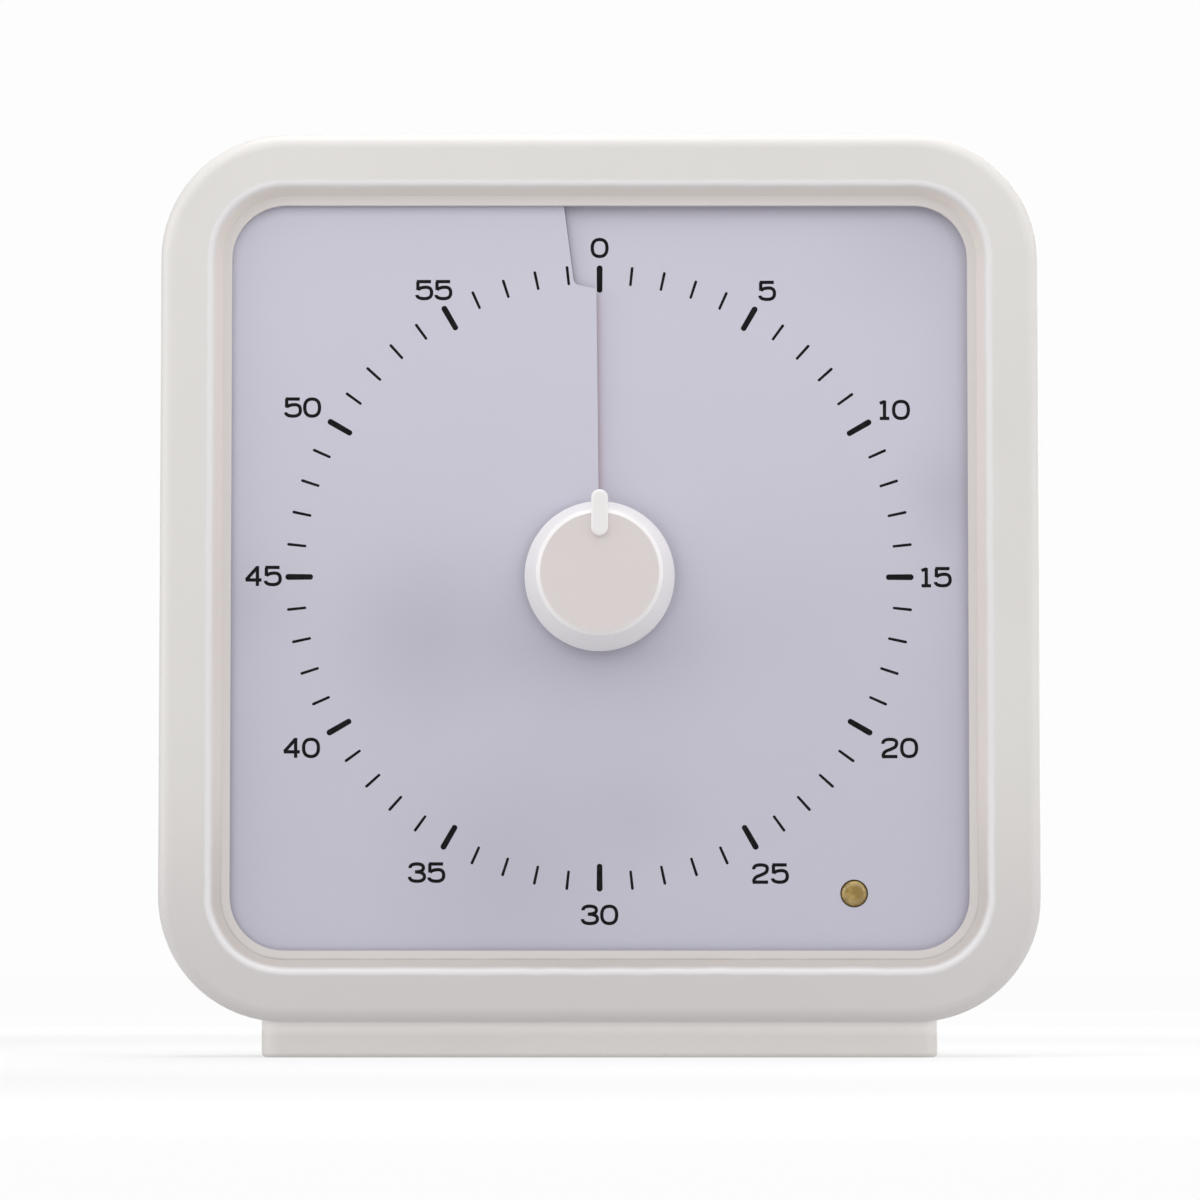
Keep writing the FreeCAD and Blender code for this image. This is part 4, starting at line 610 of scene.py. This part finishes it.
@dataclass(frozen=True)
class Lettering:
    """The wide sans figures of the dial."""

    height: float = 4.46 * MM
    width: float = 3.95 * MM
    weight: float = 0.74 * MM
    gap: float = 0.2 * MM
    ink: float = 0.03 * MM
    bevel_steps: int = 2
    bend_steps: int = 6
    bend_order: int = 3

    def figure(self, digit: str) -> Figure:
        """The strokes of a digit from 0 to 5.

        Args:
            digit: the digit.

        Returns:
            Its figure.
        """
        match digit:
            case "0":
                ring = ((0.0, 0.0), (1.0, 0.0), (1.0, 1.0), (0.0, 1.0))
                return Figure((Line(ring, Stroke.CLOSED),))
            case "1":
                return Figure((Line(((0.0, 0.88), (0.56, 1.0))), Line(((0.5, 1.04), (0.5, 0.0))),
                               Line(((0.0, 0.0), (1.0, 0.0)))), 0.64)
            case "2":
                sweep = ((0.03, 0.74), (0.03, 1.0), (0.95, 1.0), (0.95, 0.60), (0.62, 0.44),
                         (0.04, 0.26), (0.04, 0.0))
                return Figure((Line(sweep), Line(((-0.04, 0.0), (1.0, 0.0)))))
            case "3":
                upper = ((0.03, 0.76), (0.03, 1.0), (0.93, 1.0), (0.93, 0.54), (0.36, 0.54))
                lower = ((0.36, 0.54), (1.0, 0.54), (1.0, 0.0), (0.0, 0.0), (0.0, 0.26))
                return Figure((Line(upper), Line(lower)))
            case "4":
                return Figure((Line(((0.76, 1.02), (0.0, 0.28))),
                               Line(((-0.04, 0.27), (1.04, 0.27))),
                               Line(((0.76, 1.08), (0.76, -0.08)))))
            case "5":
                bowl = ((0.07, 0.50), (0.20, 0.66), (1.0, 0.68), (1.0, 0.0), (0.04, 0.0),
                        (0.0, 0.22))
                return Figure((Line(((0.0, 1.0), (0.96, 1.0))), Line(((0.07, 1.0), (0.07, 0.50))),
                               Line(bowl)))
            case _:
                raise ValueError(f"no figure for {digit}")

    def draw(self, text: str) -> bpy.types.Mesh:
        """Draw a number in the XY plane, its middle at the origin.

        Args:
            text: the number's digits.

        Returns:
            A flat mesh of its strokes.
        """
        curve = bpy.data.curves.new(f"number_{text}", "CURVE")
        curve.dimensions = "3D"
        curve.bevel_depth = self.weight / 2
        curve.bevel_resolution = self.bevel_steps
        curve.resolution_u = self.bend_steps
        curve.use_fill_caps = True
        inner_width, inner_height = self.width - self.weight, self.height - self.weight
        start = 0.0
        for digit in text:
            figure = self.figure(digit)
            span = inner_width * figure.width
            for line in figure.lines:
                spline = curve.splines.new("NURBS")
                spline.points.add(len(line.points) - 1)
                for point, (x, y) in zip(spline.points, line.points):
                    point.co = (start + x * span, (y - 0.5) * inner_height, 0.0, 1.0)
                spline.use_cyclic_u = line.kind is Stroke.CLOSED
                spline.use_endpoint_u = line.kind is Stroke.OPEN
                spline.order_u = min(self.bend_order, len(line.points))
            start += span + self.weight + self.gap
        holder = bpy.data.objects.new(f"number_{text}", curve)
        bpy.context.scene.collection.objects.link(holder)
        bpy.context.view_layer.update()
        graph = bpy.context.evaluated_depsgraph_get()
        mesh = bpy.data.meshes.new_from_object(holder.evaluated_get(graph))
        bpy.data.objects.remove(holder)
        middle = (start - self.weight - self.gap) / 2
        mesh.transform(Matrix.Translation((-middle, 0.0, 0.0)))
        mesh.transform(Matrix.Diagonal((1.0, 1.0, self.ink / self.weight, 1.0)))
        return mesh


@dataclass
class Dial:
    """The printed dial: the card's spiral face, its ticks and its numbers."""

    finishes: Finishes
    lettering: Lettering = Lettering()
    centre_z: float = DIAL_HEIGHT
    middle_y: float = -14.4 * MM
    rise: float = 1.6 * MM
    card_thickness: float = 0.5 * MM
    slit_angle: float = 0.65
    slit_turn: float = 62.8 * MM
    slit_jog: float = 5.4 * MM
    slit_lean: float = 2.8 * MM
    card_half: float = 83.2 * MM
    major_inner: float = 62.0 * MM
    minor_inner: float = 63.8 * MM
    tick_outer: float = 68.0 * MM
    major_width: float = 1.3 * MM
    minor_width: float = 0.62 * MM
    waist: float = 0.01

    def number_places(self) -> dict[int, Place]:
        """Where each number's middle lies, in millimetres from the dial's middle."""
        return {0: (0.0, 71.8), 5: (36.4, 62.4), 10: (63.9, 36.4), 15: (72.8, 0.0),
                20: (64.8, -37.0), 25: (36.8, -64.1), 30: (0.0, -73.0), 35: (-37.3, -63.9),
                40: (-64.4, -37.0), 45: (-72.8, 0.2), 50: (-64.4, 36.8), 55: (-36.0, 62.4)}

    def side(self, x: float, up: float) -> Side:
        """Which part of the card a point at the top lies on.

        Args:
            x, up: the point, from the dial's middle.

        Returns:
            Behind for the part to the right of the slit, in front for the left part.
        """
        if x >= -up * math.tan(math.radians(self.slit_angle)):
            return Side.BEHIND
        if up < self.slit_turn or x < -self.slit_jog - self.slit_lean:
            return Side.IN_FRONT
        share = (up - self.slit_turn) / (self.card_half - self.slit_turn)
        return Side.BEHIND if x > -self.slit_jog - share * self.slit_lean else Side.IN_FRONT

    def face_y(self, x: float, up: float) -> float:
        """Where the card's printed face lies.

        Args:
            x, up: a point of the dial, from its middle.

        Returns:
            The face's Y in the row frame.
        """
        turn = math.degrees(math.atan2(x, up)) + self.slit_angle
        if turn < 0.0 and (up < 0.0 or self.side(x, up) is Side.IN_FRONT):
            turn += 360.0
        return self.middle_y + self.rise / 2 - self.rise * turn / 360 - self.card_thickness / 2

    def tick(self, shape: bmesh.types.BMesh, minute: int) -> None:
        """Add one tick to the print, round at both ends.

        Args:
            shape: the print's mesh.
            minute: the tick's minute.
        """
        major = minute % MAJOR_STEP == 0
        inner = self.major_inner if major else self.minor_inner
        width = self.major_width if major else self.minor_width
        made = bmesh.ops.create_uvsphere(shape, u_segments=16, v_segments=8, radius=width / 2)
        length = self.tick_outer - inner - width
        flatten = Matrix.Diagonal((1.0, 1.0, self.lettering.ink / width, 1.0))
        bmesh.ops.transform(shape, matrix=flatten, verts=made["verts"])
        for vert in made["verts"]:
            vert.co.y += math.copysign(length / 2, vert.co.y + width * self.waist)
        middle = (inner + self.tick_outer) / 2
        turn = Matrix.Rotation(-math.radians(360 / MINUTES * minute), 4, "Z")
        bmesh.ops.transform(shape, matrix=turn @ Matrix.Translation((0, middle, 0)),
                            verts=made["verts"])

    def number(self, shape: bmesh.types.BMesh, text: str, place: Place) -> None:
        """Add one number to the print.

        Args:
            shape: the print's mesh.
            text: the number.
            place: its middle in millimetres from the dial's middle.
        """
        mesh = self.lettering.draw(text)
        mesh.transform(Matrix.Translation((place[0] * MM, place[1] * MM, 0)))
        shape.from_mesh(mesh)
        bpy.data.meshes.remove(mesh)

    def build(self) -> bpy.types.Object:
        """Build the print and lay it on the card.

        Returns:
            The print's object.
        """
        shape = bmesh.new()
        for minute in range(MINUTES):
            self.tick(shape, minute)
        for minute, place in self.number_places().items():
            self.number(shape, str(minute), place)
        for vert in shape.verts:
            x, up, proud = vert.co
            vert.co = Vector((x, self.face_y(x, up) - proud, self.centre_z + up))
        piece = new_piece("dial_print", shape, self.finishes.ink, "case")
        dress(self.finishes.dial, "dial_card")
        dress(self.finishes.disc, "time_disc")
        dress(self.finishes.lens, "indicator_led")
        dress(self.finishes.plated, "led_legs")
        return piece


@dataclass
class Case:
    """The two shells, the foot, the battery door and the marks by the rear switches."""

    finishes: Finishes
    rear_y: float = 19.5 * MM
    mark_depth: float = 0.12 * MM
    mark_z: float = 115.2 * MM
    switch_x: float = 40.0 * MM
    switch_spacing: float = 24.0 * MM
    step: float = 2.4 * MM
    mark_width: float = 0.8 * MM
    mark_growth: float = 0.6 * MM
    mark_height: float = 1.0 * MM
    spread: float = 1.2
    mark_sink: float = 0.8
    mark_round: float = 0.35

    def bar(self, shape: bmesh.types.BMesh, x: float, z: float, width: float,
            height: float) -> None:
        """Add one painted bar to the marks on the rear.

        Args:
            shape: the marks' mesh.
            x, z: the bar's middle.
            width, height: its size.
        """
        made = bmesh.ops.create_cube(shape, size=1.0)
        verts = made["verts"]
        bmesh.ops.scale(shape, vec=(width, self.mark_depth * 2, height), verts=verts)
        bmesh.ops.translate(shape, vec=(x, self.rear_y - self.mark_depth * self.mark_sink, z),
                            verts=verts)
        edges = {edge for vert in verts for edge in vert.link_edges
                 if abs(edge.verts[0].co.y - edge.verts[1].co.y) > self.mark_depth}
        bmesh.ops.bevel(shape, geom=list(edges), offset=min(width, height) * self.mark_round,
                        affect="EDGES", segments=3, profile=0.5, material=-1)

    def build(self) -> bpy.types.Object:
        """Dress the shells and paint the marks.

        Returns:
            The marks' object.
        """
        shape = bmesh.new()
        second_x = self.switch_x + self.switch_spacing
        for place in (-1, 0, 1):
            growth = self.mark_growth * (place + 1)
            height = self.mark_height + growth
            self.bar(shape, self.switch_x - place * self.step,
                     self.mark_z + height / 2 - self.mark_height, self.mark_width, height)
            self.bar(shape, second_x - place * self.step * self.spread, self.mark_z,
                     self.mark_width + growth, self.mark_width)
        marks = new_piece("switch_marks", shape, self.finishes.mark, "case")
        dress(self.finishes.bezel, "front_frame")
        dress(self.finishes.case, "rear_cover", "battery_door")
        dress(self.finishes.foot, "base_foot")
        dress(self.finishes.steel, "case_screws", "foot_screws")
        return marks


@dataclass
class SettingKnob:
    """The knob and what turns with it."""

    finishes: Finishes

    def build(self) -> None:
        """Dress the knob, its hub and its spindle."""
        dress(self.finishes.knob, "knob")
        dress(self.finishes.inner, "disc_hub")
        dress(self.finishes.steel, "spindle", "clutch_spring")
        dress(self.finishes.gear, "centre_wheel", "alarm_cam")


@dataclass
class Works:
    """The movement, the electronics and the battery inside the case."""

    finishes: Finishes

    def build(self) -> None:
        """Dress every inner node."""
        looks = self.finishes
        dress(looks.inner, "dial_support", "movement_front", "movement_rear", "coil_bobbin")
        dress(looks.gear, "second_wheel", "third_wheel", "fourth_wheel", "rotor_pinion")
        dress(looks.ferrite, "rotor_magnet")
        dress(looks.steel, "stator", "coil_core", "support_screws", "movement_screws",
              "board_screws", "switch_board_screws")
        dress(looks.copper, "coil_winding")
        dress(looks.board, "circuit_board", "switch_board")
        dress(looks.black, "control_chip", "capacitors", "buzzer", "volume_slider",
              "alarm_length_slider")
        dress(looks.insulation, "battery_leads", "movement_leads", "switch_leads")
        dress(looks.plated, "quartz_crystal", "positive_contact", "negative_contact",
              "volume_switch", "alarm_length_switch")
        dress(looks.brass, "contact_blades")
        dress(looks.sleeve, "battery_cell")


@dataclass(frozen=True)
class Softbox:
    """A square soft light: where it stands, how wide it is and how bright."""

    name: str
    place: tuple[float, float, float]
    size: float
    power: float


@dataclass
class Studio:
    """The pale floor, the soft lights and the camera."""

    photo_side: float = 1200.0
    focal_pixels: float = 5411.0
    distance: float = 1.163
    pitch: float = 3.8
    front_y: float = -20.0 * MM
    aim_z: float = DIAL_HEIGHT
    aim_pixel: Place = (599.6, 575.3)
    sensor: float = 36.0
    floor_half: float = 6.0
    floor_near: float = 0.14
    floor_far: float = 0.60
    floor_glow: float = 0.55
    floor_light: float = 0.36
    floor_wander: float = 0.02
    floor_pale: Colour = srgb(168, 168, 168)
    floor_dark: Colour = srgb(24, 24, 24)
    horizon: float = 0.97
    backdrop: Colour = srgb(253, 253, 253)
    surround: float = 0.22
    clip: Span = (0.01, 50.0)
    boxes: tuple[Softbox, ...] = (
        Softbox("left_box", (-0.50, -0.42, 0.48), 0.6, 1.1),
        Softbox("right_box", (0.50, -0.42, 0.48), 0.6, 0.95),
        Softbox("top_box", (0.0, -0.36, 0.54), 0.85, 1.8),
        Softbox("left_rim", (-0.70, -0.10, 0.22), 0.5, 1.5),
        Softbox("right_rim", (0.70, -0.10, 0.22), 0.5, 1.35),
        Softbox("top_rim", (0.0, 0.06, 0.80), 0.5, 2.0),
        Softbox("rear_box", (0.35, 0.85, 0.40), 0.9, 7.0),
    )

    def build(self) -> None:
        """Make the floor, the world, the lights and the camera."""
        self.build_floor()
        self.build_world()
        for box in self.boxes:
            self.build_light(box)
        self.build_camera()

    def build_floor(self) -> None:
        """A wide pale floor that fades into the surroundings."""
        shape = bmesh.new()
        bmesh.ops.create_grid(shape, x_segments=1, y_segments=1, size=self.floor_half)
        mesh = bpy.data.meshes.new("studio_floor")
        shape.to_mesh(mesh)
        shape.free()
        graph = Graph("studio_floor")
        wander = graph.math("MULTIPLY", graph.noise(3.0), self.floor_wander)
        reach = graph.math("ADD", graph.reach(graph.axis("X"), graph.axis("Y")), wander)
        far = graph.spread(reach, self.floor_near, self.floor_far, 0.0, 1.0)
        graph.colour(graph.blend(far, self.floor_pale, self.floor_dark))
        graph.set(Roughness=0.95, Specular_IOR_Level=0.0, Emission_Color=with_alpha(WHITE))
        path = graph.tree.nodes.new("ShaderNodeLightPath")
        glow = graph.spread(far, 0.0, 1.0, self.floor_glow, self.horizon)
        light = graph.math("MULTIPLY", path.outputs["Is Camera Ray"],
                           graph.math("SUBTRACT", glow, self.floor_light))
        graph.join(graph.math("ADD", light, self.floor_light),
                   graph.shader.inputs["Emission Strength"])
        mesh.materials.append(graph.material)
        floor = bpy.data.objects.new("studio_floor", mesh)
        bpy.context.scene.collection.objects.link(floor)

    def build_world(self) -> None:
        """White surroundings, dimmer as light than as a backdrop."""
        world = bpy.data.worlds.new("studio_world")
        bpy.context.scene.world = world
        world.use_nodes = True
        tree = world.node_tree
        tree.nodes.clear()
        output = tree.nodes.new("ShaderNodeOutputWorld")
        seen = tree.nodes.new("ShaderNodeBackground")
        light = tree.nodes.new("ShaderNodeBackground")
        seen.inputs["Color"].default_value = with_alpha(self.backdrop)
        light.inputs["Color"].default_value = with_alpha(WHITE)
        light.inputs["Strength"].default_value = self.surround
        path = tree.nodes.new("ShaderNodeLightPath")
        mix = tree.nodes.new("ShaderNodeMixShader")
        tree.links.new(path.outputs["Is Camera Ray"], mix.inputs["Fac"])
        tree.links.new(light.outputs["Background"], mix.inputs[1])
        tree.links.new(seen.outputs["Background"], mix.inputs[2])
        tree.links.new(mix.outputs["Shader"], output.inputs["Surface"])

    def build_light(self, box: Softbox) -> None:
        """A square soft light that looks at the timer.

        Args:
            box: where it stands, how wide it is and how bright.
        """
        data = bpy.data.lights.new(box.name, "AREA")
        data.size = box.size
        data.energy = box.power
        light = bpy.data.objects.new(box.name, data)
        light.location = box.place
        aim = Vector((0.0, 0.0, self.aim_z)) - Vector(box.place)
        light.rotation_euler = aim.to_track_quat("-Z", "Y").to_euler()
        bpy.context.scene.collection.objects.link(light)

    def build_camera(self) -> None:
        """The camera of the photograph: a long lens, low and level with the foot."""
        data = bpy.data.cameras.new("photo_camera")
        data.sensor_width = self.sensor
        data.lens = self.focal_pixels / self.photo_side * self.sensor
        data.clip_start, data.clip_end = self.clip
        camera = bpy.data.objects.new("photo_camera", data)
        up_angle = math.atan((self.photo_side / 2 - self.aim_pixel[1]) / self.focal_pixels)
        rise = self.distance * math.tan(math.radians(self.pitch) + up_angle)
        aside = (self.photo_side / 2 - self.aim_pixel[0]) / self.focal_pixels * self.distance
        camera.location = (aside, self.front_y - self.distance, self.aim_z - rise)
        camera.rotation_euler = (math.radians(90.0 + self.pitch), 0.0, 0.0)
        bpy.context.scene.collection.objects.link(camera)
        bpy.context.scene.camera = camera
        settings = bpy.context.scene.view_settings
        settings.view_transform = "Standard"
        settings.look = "None"


def main() -> None:
    """Build every sub-assembly in order."""
    logging.basicConfig(level=logging.INFO, format="%(name)s: %(message)s")
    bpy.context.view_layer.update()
    finishes = Finishes()
    for part in (Case(finishes), Dial(finishes), SettingKnob(finishes), Works(finishes),
                 Studio()):
        part.build()
        LOG.info("%s is ready", type(part).__name__)


if __name__ == "__main__":
    main()
